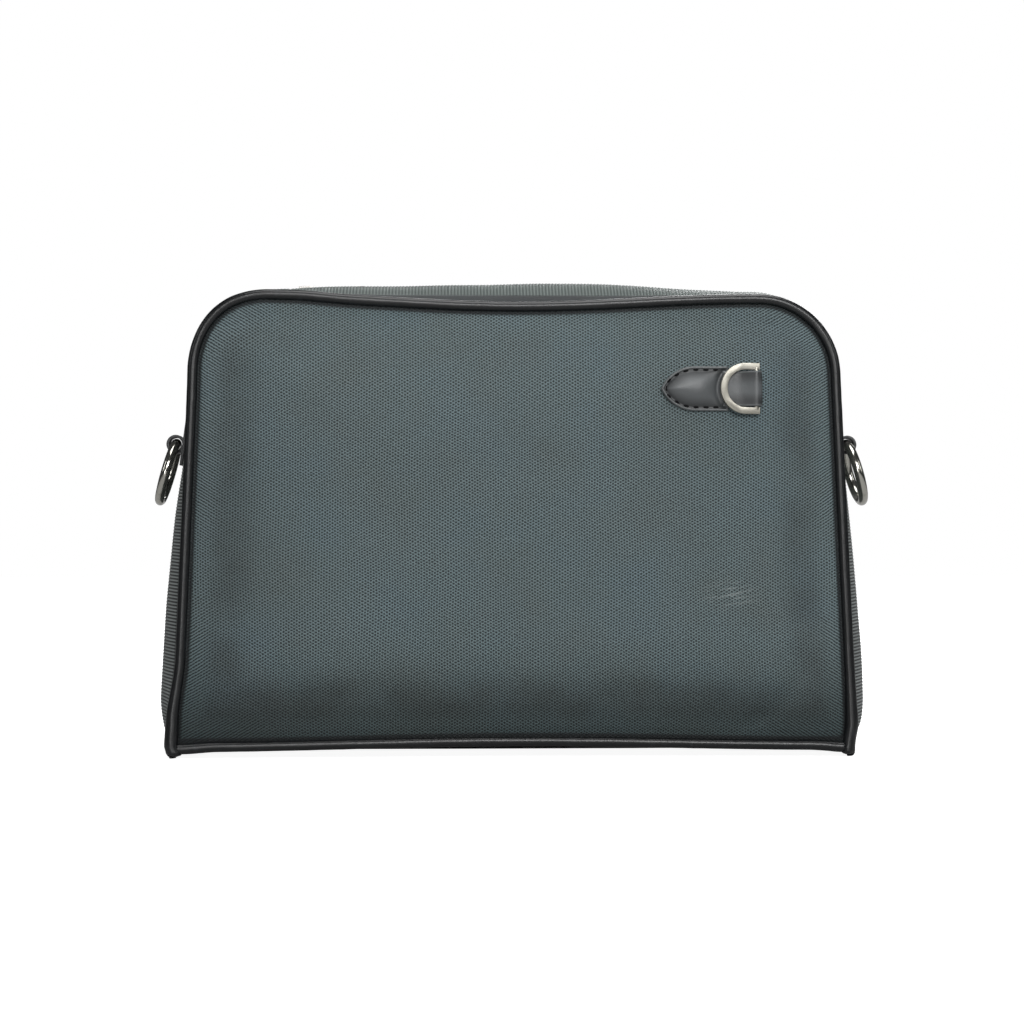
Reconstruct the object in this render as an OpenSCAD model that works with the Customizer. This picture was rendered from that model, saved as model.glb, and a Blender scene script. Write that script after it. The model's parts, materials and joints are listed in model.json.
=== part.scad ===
// Zip-top messenger bag: two pillowed panels, a ribbed strip round the sides and top, piped seams,
// a zip across the top, a ring in a leather loop at each side and a D-ring on a front tab.
// The bag stands on the floor at z = 0, its front faces -Y, and x = y = 0 is the middle of its base.

/* [Body] */
// Width of a panel at its base, between the middles of its side piping
panel_w = 289.6; // [270:0.2:310]
// Height of a panel's top corners, to the middle of the piping
panel_h = 197.3; // [185:0.1:205]
// How far each side of a panel leans in, in degrees
side_lean = 2.2; // [1:0.1:3]
// Radius of a panel's top corners, to the middle of the piping
corner_r = 33; // [28:1:38]
// How far the top edge of a panel sags at its middle
top_dip = 3.6; // [2:0.1:4]
// Depth of the bag at its base, between the front and back piping
depth_base = 78; // [74:1:84]
// Depth of the bag at the top corners, between the front and back piping
depth_top = 56; // [54:1:58]
// How far a filled panel stands out at its middle
panel_dome = 8; // [5:0.5:10]
// How far the side gusset stands out, low on the bag
gusset_bulge_low = 10; // [8:0.5:11]
// How far the side gusset stands out, where the top corner begins
gusset_bulge_high = 0.6; // [0.4:0.2:2]

/* [Cloth and leather] */
// Thickness of the woven and ribbed nylon with its backing
shell_t = 1.2; // [1:0.1:1.4]
// Thickness of the foam stiffener
foam_t = 2.4; // [1.5:0.1:3]
// Thickness of the lining
lining_t = 0.6; // [0.4:0.1:0.8]
// Radius of the round piping
piping_r = 2.25; // [2:0.05:2.5]
// Thickness of the leather on the side loops
leather_t = 1.3; // [1.1:0.1:1.5]
// Thickness of the stiff board in the base
board_t = 2; // [1.5:0.5:2.5]

/* [Zip] */
// Height of the strip's crown at the middle of the bag
crown_z = 206; // [205:0.5:207]
// Radius of the long arch that the zip follows
zip_arc_r = 1750; // [1700:10:2000]
// Half the length of the mouth
mouth_half = 98; // [96:1:100]
// How far the zip tape lies below the crown of the strip
tape_drop = 4.2; // [4:0.1:4.4]
// Half the width of the closed coils
coil_half_w = 2.7; // [2.6:0.05:2.75]
// Where the slider's middle rests when the zip is closed, left of the bag's middle
slider_rest_x = 91; // [88:0.5:91]
// Length of the zip pull from its hinge
pull_len = 26; // [20:1:30]

/* [Rings] */
// Inside diameter of a side ring
ring_id = 22; // [20:0.5:23]
// Wire diameter of a side ring
ring_wire = 4.2; // [3.8:0.1:4.4]
// Height of the side loops' bore above the floor
loop_z = 134.8; // [130:0.2:140]
// Width of the side loop straps, front to back
loop_w = 8; // [6:0.5:8]
// How far the left ring hangs out from upright, in degrees
ring_tilt_left = 16; // [4:1:20]
// How far the right ring hangs out from upright, in degrees
ring_tilt_right = 16; // [4:1:20]
// Outside height of the flat D-ring
dring_h = 21.9; // [21:0.1:22.5]
// Width of the D-ring's flat band
dring_band = 2.8; // [2.4:0.1:3]
// Thickness of the D-ring's flat band
dring_t = 1.6; // [1.4:0.1:1.8]
// How far the D-ring stands up from the panel, in degrees
dring_tilt = 8; // [8:0.5:12]
// Thickness of the front tab's leather
tab_t = 1.1; // [1:0.1:1.1]
// Height of the front tab's middle above the floor
tab_z = 157.8; // [150:0.2:160]
// Distance from the bag's middle to the D-ring's hinge
tab_hinge_x = 102.9; // [100:0.1:106]
// Length of the front tab from its tip to the D-ring's hinge
tab_len = 41; // [38:0.5:44]
// Width of the tab's body
tab_w = 19.3; // [19:0.1:20]
// Width of the strap that holds the D-ring
tab_strap_w = 15.2; // [14.5:0.1:15.3]

/* [Hidden] */

// Round parts
round_fn = 64;
tube_sides = 8;

// Steps along an outline
side_steps = 6;
corner_steps = 7;
top_steps = 10;
bottom_steps = 8;

// The panel's plane leans back by face_lean
face_lean = atan((depth_base - depth_top) / 2 / panel_h);
// The front of the bag at a height z, as a distance from the middle plane
function face_y(z) = depth_base / 2 - z * tan(face_lean);

// Middle of the base piping: lowest at the corners
base_z_end = 4.9;
base_z_rise = 2;
// Where the side piping starts above the floor
arch_z = 2.4;

// Half the width of a panel at a height z
function side_x(z) = panel_w / 2 - (z - base_z_end) * tan(side_lean);
corner_z = panel_h - corner_r;
corner_x = side_x(corner_z) - corner_r / cos(side_lean);
// The sagging top edge and the raised bottom edge
function top_z(x) = panel_h - top_dip * pow(cos(90 * min(abs(x) / corner_x, 1)), 2);
function bottom_z(x) = base_z_end + base_z_rise * pow(cos(90 * min(abs(x) / side_x(base_z_end), 1)), 2);

// Outline pieces as [x, z], anticlockwise from the right foot
function side_points(z_from) =
    [for (i = [0:side_steps - 1]) let (z = z_from + (corner_z - z_from) * i / side_steps) [side_x(z), z]];
corner_points = [
    for (i = [0:corner_steps])
        let (a = side_lean + (90 - side_lean) * i / corner_steps)
            [corner_x + corner_r * cos(a), corner_z + corner_r * sin(a)]
];
top_points = [for (i = [1:top_steps - 1]) let (x = corner_x * (1 - 2 * i / top_steps)) [x, top_z(x)]];
bottom_points = [
    for (i = [1:bottom_steps - 1])
        let (x = side_x(base_z_end) * (2 * i / bottom_steps - 1))
            [x, bottom_z(x)]
];
function flipped(points) = [for (i = [len(points) - 1:-1:0]) [-points[i][0], points[i][1]]];
function right_points(z_from) = concat(side_points(z_from), corner_points);
function arch(z_from) = concat(right_points(z_from), top_points, flipped(right_points(z_from)));
loop = concat(arch(base_z_end), bottom_points);

// A panel's rings shrink towards its middle
middle = [0, 100];
dome_power = 4;
dome_rings = [0.93, 0.82, 0.66, 0.45, 0.2];
function toward(p, s) = middle + s * (p - middle);
// How far out of the middle a point lies: 1 on the outline
function spread(p) = max([
    for (k = [0:len(loop) - 1])
        let (a = loop[k], b = loop[(k + 1) % len(loop)], n = [b[1] - a[1], a[0] - b[0]])
            (n * (p - middle)) / (n * (a - middle))
]);
function dome_at(s) = panel_dome * (1 - pow(s, dome_power));
// A point of the front face plane, out from it by o
function on_plane(p, o) = [p[0], -face_y(p[1]) - o, p[1]];

// Skins a list of closed sections, all wound the same way. Each end is closed by a fan to its point
// in tips, or else straight across the section, from the first half of its points to the second.
module skin(sections, tips = []) {
    n = len(sections[0]);
    m = len(sections);
    sides = [
        for (i = [0:m - 2], j = [0:n - 1])
            let (a = i * n + j, b = i * n + (j + 1) % n)
                each [[a, b, b + n], [a, b + n, a + n]]
    ];
    function fan(s, tip) = [for (j = [0:n - 1]) [s + j, s + (j + 1) % n, tip]];
    function across(s) = [
        for (j = [0:n / 2 - 2])
            let (a = s + j, b = s + n - 1 - j)
                each [[a, a + 1, b - 1], [a, b - 1, b]]
    ];
    function end_faces(i) = len(tips) > 0 ? fan(i * n, m * n + sign(i)) : across(i * n);
    first = [for (f = end_faces(0)) [f[2], f[1], f[0]]];
    points = concat([for (s = sections) each s], tips);
    polyhedron(points, concat(first, sides, end_faces(m - 1)), convexity = 10);
}

// A domed sheet between two offsets from the front face plane, its edge drawn in to scale edge
module domed_sheet(outer, thickness, edge) {
    rings = concat([edge], [for (s = dome_rings) s * edge]);
    function ring(s, o) = [for (p = loop) on_plane(toward(p, s), o + dome_at(s))];
    outside = [for (i = [len(rings) - 1:-1:0]) ring(rings[i], outer)];
    inside = [for (s = rings) ring(s, outer - thickness)];
    skin(
        concat(outside, inside),
        [on_plane(middle, outer + panel_dome), on_plane(middle, outer - thickness + panel_dome)]
    );
}

// Outward directions along an open path of [x, z] points, run anticlockwise
function outward(path, i) =
    let (
        a = path[max(i - 1, 0)],
        b = path[min(i + 1, len(path) - 1)],
        t = (b - a) / norm(b - a)
    ) [t[1], -t[0]];

// A round tube along a path that lies in the front face plane
module face_tube(path, r) {
    skin([
        for (i = [len(path) - 1:-1:0])
            let (n = outward(path, i), c = on_plane(path[i], 0))
                [
                    for (k = [0:tube_sides - 1])
                        let (a = 360 * k / tube_sides, o = r * cos(a))
                            c + [n[0] * o, n[1] * o * tan(face_lean) + r * sin(a), n[1] * o]
                ]
    ]);
}

// How far the gusset stands out at a point of its path
crown_at_mouth = crown_z - (zip_arc_r - sqrt(pow(zip_arc_r, 2) - pow(mouth_half, 2)));
bulge_foot = 5;
bulge_foot_z = 25;
bulge_top = crown_at_mouth - shell_t / 2 - top_z(mouth_half);
function gusset_bulge(p) =
    p[1] < bulge_foot_z
        ? bulge_foot + (gusset_bulge_low - bulge_foot) * sin(90 * (p[1] - arch_z) / (bulge_foot_z - arch_z))
        : p[1] < corner_z
            ? gusset_bulge_high
                + (gusset_bulge_low - gusset_bulge_high)
                    * cos(90 * (p[1] - bulge_foot_z) / (corner_z - bulge_foot_z))
            : gusset_bulge_high
                + (bulge_top - gusset_bulge_high) * pow((p[1] - corner_z) / (panel_h - corner_z), 3);
bulge_power = 2.2;
// A groove that carries on from the zip and fades out round the corner, so the pull can lie in it
groove_deep = 3;
groove_half_w = 10;
groove_fade_x = 127;
groove_fade = 13;
function gusset_groove(p, y) =
    p[1] < corner_z
        ? 0
        : groove_deep
            * max(0, min(1, (groove_fade_x - p[0]) / groove_fade))
            * (1 - pow(min(1, abs(y) / groove_half_w), 3));

// The gusset's path on the right side: up from the floor, round the corner and on to the mouth
gusset_foot_z = 4.4;
gusset_path = concat(
    side_points(gusset_foot_z),
    corner_points,
    [[(corner_x + mouth_half) / 2, top_z((corner_x + mouth_half) / 2)], [mouth_half, top_z(mouth_half)]]
);

// A bulged strip along the gusset's path, with its edges drawn in to the fraction wide of the depth
module gusset_strip(path, outer, thickness, wide, steps) {
    function across(i, o, v) =
        let (
            p = path[i],
            n = outward(path, i),
            y = v * face_y(p[1]),
            out = o + gusset_bulge(p) * (1 - pow(abs(v), bulge_power)) - gusset_groove(p, y)
        ) [p[0] + n[0] * out, y, p[1] + n[1] * out];
    vs = [for (j = [-steps:steps]) wide * j / steps];
    skin([
        for (i = [len(path) - 1:-1:0])
            concat(
                [for (v = vs) across(i, outer, v)],
                [for (j = [len(vs) - 1:-1:0]) across(i, outer - thickness, vs[j])]
            )
    ]);
}

// The mouth: its front half lies at negative y, and the back half is its mirror image
mouth_gap = 0.4;
hinge_y = 22.9;
hinge_z = 198.9;
strip_edge_y = 6.3;
ridge_y = 10;
zip_steps = 12;
function crown_at(x) = crown_z - (zip_arc_r - sqrt(pow(zip_arc_r, 2) - x * x));
function along(half, steps) = [for (i = [0:steps]) half * (2 * i / steps - 1)];

// A strip that runs along x, with its section at each x given as [y, z] points, clockwise seen from +X
module long_strip(xs, sections) {
    skin([for (i = [0:len(xs) - 1]) [for (p = sections[i]) [xs[i], p[0], p[1]]]]);
}

module mirrored_back() {
    mirror([0, 1, 0]) children();
}

// One half of the ribbed strip beside the zip: from its hinge line over the ridge to the coil's edge
module zip_strip_half() {
    xs = along(mouth_half - mouth_gap, zip_steps);
    long_strip(xs, [
        for (x = xs)
            let (
                c = crown_at(x),
                top = [
                    [-hinge_y + mouth_gap / 2, hinge_z],
                    [-17.5, hinge_z + 0.52 * (c - hinge_z)],
                    [-13, c - 0.9],
                    [-ridge_y, c],
                    [-7.4, c - 1],
                    [-strip_edge_y, c - tape_drop + 0.9]
                ],
                low = [
                    [-strip_edge_y - shell_t, c - tape_drop + 0.9],
                    [-8.3, c - 2],
                    [-ridge_y, c - shell_t],
                    [-13, c - 0.9 - shell_t],
                    [-17.5, hinge_z + 0.52 * (c - hinge_z) - shell_t],
                    [-hinge_y + mouth_gap / 2, hinge_z - shell_t]
                ]
            ) concat(top, low)
    ]);
}

// The sewn edge between the top piping and the strip
module seam_binding_half() {
    xs = along(mouth_half, zip_steps);
    long_strip(xs, [
        for (x = xs)
            let (y = -face_y(top_z(x)) + 1.4, z = top_z(x) + 1.4)
                [
                    [y, z],
                    [-hinge_y - mouth_gap, hinge_z],
                    [-hinge_y - mouth_gap, hinge_z - shell_t],
                    [y, z - shell_t]
                ]
    ]);
}

// A flat band that follows the zip's arch, given its y range and its half thickness
module zip_band(half_from, half_to, y_from, y_to, half_t) {
    xs = [for (i = [0:zip_steps]) half_from + (half_to - half_from) * i / zip_steps];
    long_strip(xs, [
        for (x = xs)
            let (z = crown_at(x) - tape_drop)
                [[-y_from, z + half_t], [-y_to, z + half_t], [-y_to, z - half_t], [-y_from, z - half_t]]
    ]);
}

tape_half_len = 97.6;
tape_half_w = 12.5;
tape_half_t = 0.25;
coil_half_t = 0.95;
coil_gap = 0.25;
coil_from = -92.3;
coil_to = 92.3;
stop_w = 1.4;
stop_half_y = 2.4;
stop_half_t = 1.2;

module zip_tape_half() {
    zip_band(-tape_half_len, tape_half_len, tape_half_w, coil_half_w + 0.05, tape_half_t);
}

module zip_coil_half() {
    zip_band(coil_from, coil_to, coil_half_w, coil_gap, coil_half_t);
}

// Puts its children on the zip's arch at x, level with the tape
module on_zip(x) {
    translate([0, 0, crown_z - zip_arc_r])
        rotate([0, asin(x / (zip_arc_r - tape_drop)), 0])
            translate([0, 0, zip_arc_r - tape_drop])
                children();
}

module box(low, high) {
    translate(low) cube(high - low);
}

// The slider: two plates round the coils, a post between them at the nose, and a bridge for the pull
slider_half_len = 5;
slider_half_w = 4.2;
slider_wall_y = 3;
slider_gap_z = 1.25;
slider_plate_t = 0.8;
tape_slot_z = 0.55;
post_half_w = 0.6;
bridge_half_w = 1.2;
bridge_hole_x = 2.2;
bridge_post_t = 1;
bridge_hole_h = 2.2;
slider_top = slider_gap_z + slider_plate_t;
pull_bar_z = slider_top + bridge_hole_h / 2;

module slider_shape() {
    corner = [slider_half_len, slider_half_w, slider_top];
    for (up = [0, 1])
        mirror([0, 0, up]) {
            box([-slider_half_len, -slider_half_w, slider_gap_z], corner);
            for (back = [0, 1])
                mirror([0, back, 0])
                    box([-slider_half_len, slider_wall_y, tape_slot_z], corner);
        }
    box([-slider_half_len + 0.4, -post_half_w, -slider_top], [-1.8, post_half_w, slider_top]);
    difference() {
        box(
            [-bridge_hole_x - bridge_post_t, -bridge_half_w, slider_gap_z],
            [bridge_hole_x + bridge_post_t, bridge_half_w, slider_top + bridge_hole_h + bridge_post_t]
        );
        box(
            [-bridge_hole_x, -slider_half_w, slider_top],
            [bridge_hole_x, slider_half_w, slider_top + bridge_hole_h]
        );
    }
}

// The pull: a bar through the bridge, two arms beside it and a round-ended tongue, lying towards +X
pull_bar_r = 0.75;
pull_arm_y = 1.5;
pull_half_w = 3.2;
pull_t = 1.5;
pull_tongue_x = 4.3;

module pull_shape() {
    tongue_len = pull_len - pull_tongue_x - pull_half_w;
    translate([0, pull_half_w, 0])
        rotate([90, 0, 0])
            cylinder(h = 2 * pull_half_w, r = pull_bar_r, $fn = round_fn);
    for (back = [0, 1])
        mirror([0, back, 0])
            box([0, pull_arm_y, -pull_t / 2], [pull_tongue_x + 0.5, pull_half_w, pull_t / 2]);
    translate([0, 0, -pull_t / 2])
        linear_extrude(pull_t)
            difference() {
                union() {
                    translate([pull_tongue_x, -pull_half_w]) square([tongue_len, 2 * pull_half_w]);
                    translate([pull_len - pull_half_w, 0]) circle(pull_half_w, $fn = round_fn);
                }
                translate([pull_len - pull_half_w - 0.5, 0]) circle(1.2, $fn = round_fn);
            }
}

// A side loop: a strap folded round the ring's wire, flush with the leaning gusset on the right side
ring_r = (ring_id + ring_wire) / 2;
loop_bore_r = ring_wire / 2 + 0.7;
// The wire's inner side drops across the strap, so the hinge lies at the middle of that drop
wire_drop = (ring_id - sqrt(pow(ring_id, 2) - pow(loop_w, 2))) / 4;
function gusset_face_x(z) = side_x(z) + shell_t / 2 + gusset_bulge([0, z]);
gusset_slope = gusset_face_x(loop_z - 10) - gusset_face_x(loop_z + 10);
gusset_tilt = atan(gusset_slope / 20);
strap_gap = 0.08;
loop_x = gusset_face_x(loop_z) + (strap_gap + leather_t + loop_bore_r) / cos(gusset_tilt);
strap_up = 12;
strap_down = 9;

module side_loop() {
    translate([loop_x, loop_w / 2, loop_z])
        rotate([90, -gusset_tilt, 0])
            linear_extrude(loop_w)
                difference() {
                    union() {
                        circle(loop_bore_r + leather_t, $fn = round_fn);
                        translate([-loop_bore_r - leather_t, -strap_down])
                            square([leather_t, strap_up + strap_down]);
                    }
                    circle(loop_bore_r, $fn = round_fn);
                }
}

// A round ring that hangs from the right loop, tilted out from upright
module side_ring(tilt) {
    translate([loop_x, 0, loop_z])
        rotate([0, -tilt, 0])
            translate([0, 0, wire_drop - ring_r])
                rotate([0, 90, 0])
                    rotate_extrude($fn = round_fn)
                        translate([ring_r, 0]) circle(ring_wire / 2, $fn = 32);
}

// The front tab lies on the dome, between the panel's surface under its hinge and under its tip
tab_lift = 0.45;
function panel_out(x) = shell_t / 2 + dome_at(spread([x, tab_z]));
tab_yaw = atan((panel_out(tab_hinge_x - tab_len) - panel_out(tab_hinge_x)) / tab_len);

// Puts its children at the tab's hinge: x to the right, y up the panel, z out of it
module on_tab() {
    translate([tab_hinge_x, -face_y(tab_z) - (panel_out(tab_hinge_x) + tab_lift) * cos(face_lean), tab_z])
        rotate([90 - face_lean, 0, 0])
            rotate([0, tab_yaw, 0])
                children();
}

bar_r = 1.1;
bar_gap = 0.3;
fold_z = tab_t + bar_r + bar_gap;
tab_neck_x = 13;
tab_slope_x = 6.5;
tab_tip_r = 16;
dring_arc_x = 4.9;

// The tab's outline: a strap, a wider body and a pointed end made of two arcs
module tab_outline() {
    translate([-tab_neck_x - 1, -tab_strap_w / 2]) square([tab_neck_x + 1, tab_strap_w]);
    arc_x = sqrt(pow(tab_tip_r, 2) - pow(tab_tip_r - tab_w / 2, 2));
    translate([-tab_len + arc_x, -tab_w / 2]) square([tab_len - arc_x - tab_neck_x, tab_w]);
    intersection() {
        translate([-tab_len + arc_x, tab_tip_r - tab_w / 2]) circle(tab_tip_r, $fn = round_fn * 2);
        translate([-tab_len + arc_x, tab_w / 2 - tab_tip_r]) circle(tab_tip_r, $fn = round_fn * 2);
        translate([-tab_len, -tab_w / 2]) square([arc_x, tab_w]);
    }
}

// Leather folded round the D-ring's bar, over a second layer that is sewn to the panel
module tab_shape() {
    linear_extrude(tab_t) tab_outline();
    translate([0, 0, tab_t])
        linear_extrude(tab_t)
            intersection() {
                tab_outline();
                translate([-tab_len, -tab_w]) square([tab_len - tab_neck_x - 3, 2 * tab_w]);
            }
    rise = fold_z + bar_r + bar_gap;
    translate([0, tab_strap_w / 2, 0])
        rotate([90, 0, 0])
            linear_extrude(tab_strap_w)
                difference() {
                    union() {
                        translate([0, fold_z]) circle(bar_r + bar_gap + tab_t, $fn = round_fn);
                        polygon([
                            [0, fold_z],
                            [0, rise + tab_t],
                            [-tab_slope_x, 2 * tab_t],
                            [-tab_neck_x - 4, 2 * tab_t],
                            [-tab_neck_x - 4, tab_t],
                            [-2 * tab_t, tab_t]
                        ]);
                    }
                    translate([0, fold_z]) circle(bar_r + bar_gap, $fn = round_fn);
                }
}

// The flat D: an arc, two arms and a round bar through the leather's fold
module dring_shape() {
    outer = dring_h / 2;
    arm_end = bar_r + 0.3;
    inner = outer - dring_band;
    translate([0, 0, -dring_t / 2])
        linear_extrude(dring_t)
            difference() {
                union() {
                    translate([-dring_arc_x, 0]) circle(outer, $fn = round_fn);
                    translate([-dring_arc_x, -outer]) square([dring_arc_x + arm_end, 2 * outer]);
                }
                translate([-dring_arc_x, 0]) circle(inner, $fn = round_fn);
                translate([-dring_arc_x, -inner]) square([dring_arc_x + 2 * arm_end, 2 * inner]);
                translate([arm_end, -outer]) square(2 * outer);
            }
    translate([0, inner + 1, 0])
        rotate([90, 0, 0])
            cylinder(h = 2 * inner + 2, r = bar_r, $fn = round_fn);
}

// The piping under a gusset's end bows out with it, and its flat underside stands on the floor
runner_bow = 3.2;
runner_half_y = depth_base / 2 - 1.4;
runner_x = side_x(base_z_end) + 1.2;
runner_arc_r = (pow(runner_half_y, 2) + pow(runner_bow, 2)) / 2 / runner_bow;
runner_mid_x = runner_x + runner_bow - runner_arc_r;
runner_angle = asin(runner_half_y / runner_arc_r);
runner_z = piping_r - 0.15;

module runner() {
    translate([runner_mid_x, 0, 0])
        rotate_extrude(angle = 2 * runner_angle, start = -runner_angle, $fn = round_fn * 4)
            intersection() {
                translate([runner_arc_r, runner_z]) circle(piping_r, $fn = 32);
                translate([runner_arc_r - 2 * piping_r, 0]) square(4 * piping_r);
            }
}

// A plate for the base with bowed ends, drawn in from the piping
module base_plate(low, thickness, inset) {
    half_y = depth_base / 2 - inset;
    translate([0, 0, low])
        linear_extrude(thickness)
            intersection() {
                square([2 * (runner_x + runner_bow), 2 * half_y], center = true);
                translate([runner_mid_x, 0]) circle(runner_arc_r - inset, $fn = round_fn * 4);
                translate([-runner_mid_x, 0]) circle(runner_arc_r - inset, $fn = round_fn * 4);
            }
}

// The slip pocket: a flat front that follows the back panel's lean, open at its top
pocket_half_w = 80;
pocket_low = 62;
pocket_high = 150;
pocket_out = 7;
pocket_wall = 1;
pocket_depth = 9.7;

module pocket_shape() {
    translate([0, face_y(pocket_low) - pocket_out, pocket_low])
        rotate([face_lean, 0, 0]) {
            box([-pocket_half_w, 0, 0], [pocket_half_w, pocket_wall, pocket_high - pocket_low]);
            for (left = [0, 1])
                mirror([left, 0, 0])
                    box(
                        [pocket_half_w - pocket_wall, 0, 0],
                        [pocket_half_w, pocket_depth, pocket_high - pocket_low]
                    );
            box([-pocket_half_w, 0, 0], [pocket_half_w, pocket_depth, pocket_wall]);
        }
}

// Layers of a panel, from the outside in, each a little clear of the next
layer_gap = 0.1;
foam_out = -shell_t / 2 - layer_gap;
lining_out = foam_out - foam_t - layer_gap;
panel_edge = 0.986;
foam_edge = 0.965;
lining_edge = 0.955;

module front_panel() {
    color([0.34, 0.40, 0.41]) domed_sheet(shell_t / 2, shell_t, panel_edge);
}

module back_panel() {
    color([0.34, 0.40, 0.41]) mirrored_back() domed_sheet(shell_t / 2, shell_t, panel_edge);
}

module foam_front() {
    color([0.75, 0.75, 0.70]) domed_sheet(foam_out, foam_t, foam_edge);
}

module foam_back() {
    color([0.75, 0.75, 0.70]) mirrored_back() domed_sheet(foam_out, foam_t, foam_edge);
}

module lining_front() {
    color([0.16, 0.17, 0.18]) domed_sheet(lining_out, lining_t, lining_edge);
}

module lining_back() {
    color([0.16, 0.17, 0.18]) mirrored_back() domed_sheet(lining_out, lining_t, lining_edge);
}

gusset_wide = 0.985;
gusset_lining_wide = 0.87;

module gusset_right() {
    color([0.30, 0.33, 0.33]) gusset_strip(gusset_path, shell_t / 2, shell_t, gusset_wide, 5);
}

module gusset_left() {
    mirror([1, 0, 0]) gusset_right();
}

module lining_right() {
    lining_path = [for (i = [1:len(gusset_path) - 1]) gusset_path[i]];
    color([0.16, 0.17, 0.18])
        gusset_strip(lining_path, -shell_t / 2 - 4 * layer_gap, lining_t, gusset_lining_wide, 5);
}

module lining_left() {
    mirror([1, 0, 0]) lining_right();
}

module zip_strip_front() {
    color([0.36, 0.41, 0.41]) zip_strip_half();
}

module zip_strip_back() {
    color([0.36, 0.41, 0.41]) mirrored_back() zip_strip_half();
}

module seam_binding_front() {
    color([0.10, 0.12, 0.13]) seam_binding_half();
}

module seam_binding_back() {
    color([0.10, 0.12, 0.13]) mirrored_back() seam_binding_half();
}

module piping_front() {
    color([0.10, 0.11, 0.12]) face_tube(arch(arch_z), piping_r);
}

module piping_back() {
    color([0.10, 0.11, 0.12]) mirrored_back() face_tube(arch(arch_z), piping_r);
}

module base_piping_half() {
    half = side_x(base_z_end) - 1;
    path = [for (i = [0:bottom_steps]) let (x = half * (1 - 2 * i / bottom_steps)) [x, bottom_z(x)]];
    face_tube(path, piping_r);
}

module piping_base_front() {
    color([0.10, 0.11, 0.12]) base_piping_half();
}

module piping_base_back() {
    color([0.10, 0.11, 0.12]) mirrored_back() base_piping_half();
}

module piping_end_right() {
    color([0.10, 0.11, 0.12]) runner();
}

module piping_end_left() {
    mirror([1, 0, 0]) piping_end_right();
}

base_low = 3.4;
panel_inset = 2.2;
board_inset = 4.5;
board_low = base_low + shell_t + layer_gap;

module base_panel() {
    color([0.09, 0.10, 0.10]) base_plate(base_low, shell_t, panel_inset);
}

module base_board() {
    color([0.35, 0.30, 0.22]) base_plate(board_low, board_t, board_inset);
}

module base_lining() {
    color([0.16, 0.17, 0.18]) base_plate(board_low + board_t + layer_gap, lining_t, board_inset);
}

module inner_pocket() {
    color([0.20, 0.21, 0.22]) pocket_shape();
}

module zip_tape_front() {
    color([0.12, 0.13, 0.14]) zip_tape_half();
}

module zip_tape_back() {
    color([0.12, 0.13, 0.14]) mirrored_back() zip_tape_half();
}

module zip_coil_front() {
    color([0.08, 0.08, 0.09]) zip_coil_half();
}

module zip_coil_back() {
    color([0.08, 0.08, 0.09]) mirrored_back() zip_coil_half();
}

module zip_slider() {
    color([0.45, 0.45, 0.44]) on_zip(-slider_rest_x) slider_shape();
}

module zip_pull() {
    color([0.45, 0.45, 0.44]) on_zip(-slider_rest_x) translate([0, 0, pull_bar_z]) pull_shape();
}

module zip_top_stops() {
    color([0.45, 0.45, 0.44])
        on_zip(-slider_rest_x - slider_half_len - 0.4 - stop_w)
            for (back = [0, 1])
                mirror([0, back, 0])
                    box([0, coil_gap + 0.2, -stop_half_t], [stop_w, stop_half_y, stop_half_t]);
}

module zip_bottom_stop() {
    color([0.45, 0.45, 0.44])
        on_zip(coil_to + 0.4)
            box([0, -stop_half_y, -stop_half_t], [2 * stop_w, stop_half_y, stop_half_t]);
}

module side_tab_right() {
    color([0.13, 0.14, 0.15]) side_loop();
}

module side_tab_left() {
    mirror([1, 0, 0]) side_tab_right();
}

module ring_right() {
    color([0.40, 0.40, 0.38]) side_ring(ring_tilt_right);
}

module ring_left() {
    color([0.40, 0.40, 0.38]) mirror([1, 0, 0]) side_ring(ring_tilt_left);
}

module ring_tab() {
    color([0.20, 0.21, 0.23]) on_tab() tab_shape();
}

module d_ring() {
    color([0.70, 0.69, 0.65]) on_tab() translate([0, 0, fold_z]) rotate([0, dring_tilt, 0]) dring_shape();
}

front_panel();
back_panel();
gusset_left();
gusset_right();
zip_strip_front();
zip_strip_back();
seam_binding_front();
seam_binding_back();
piping_front();
piping_back();
piping_base_front();
piping_base_back();
piping_end_left();
piping_end_right();
base_panel();
base_board();
base_lining();
foam_front();
foam_back();
lining_front();
lining_back();
lining_left();
lining_right();
inner_pocket();
zip_tape_front();
zip_tape_back();
zip_coil_front();
zip_coil_back();
zip_slider();
zip_pull();
zip_top_stops();
zip_bottom_stop();
side_tab_left();
side_tab_right();
ring_left();
ring_right();
ring_tab();
d_ring();
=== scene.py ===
"""A zip-top messenger bag: its cloth, leather and metal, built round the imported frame.

Shapes are worked out in millimetres, in the frame's own axes, and scaled to metres when a mesh is made.
"""
import bpy
import bmesh
import json
import math
import numpy as np
from mathutils import Matrix, Vector, noise

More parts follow.
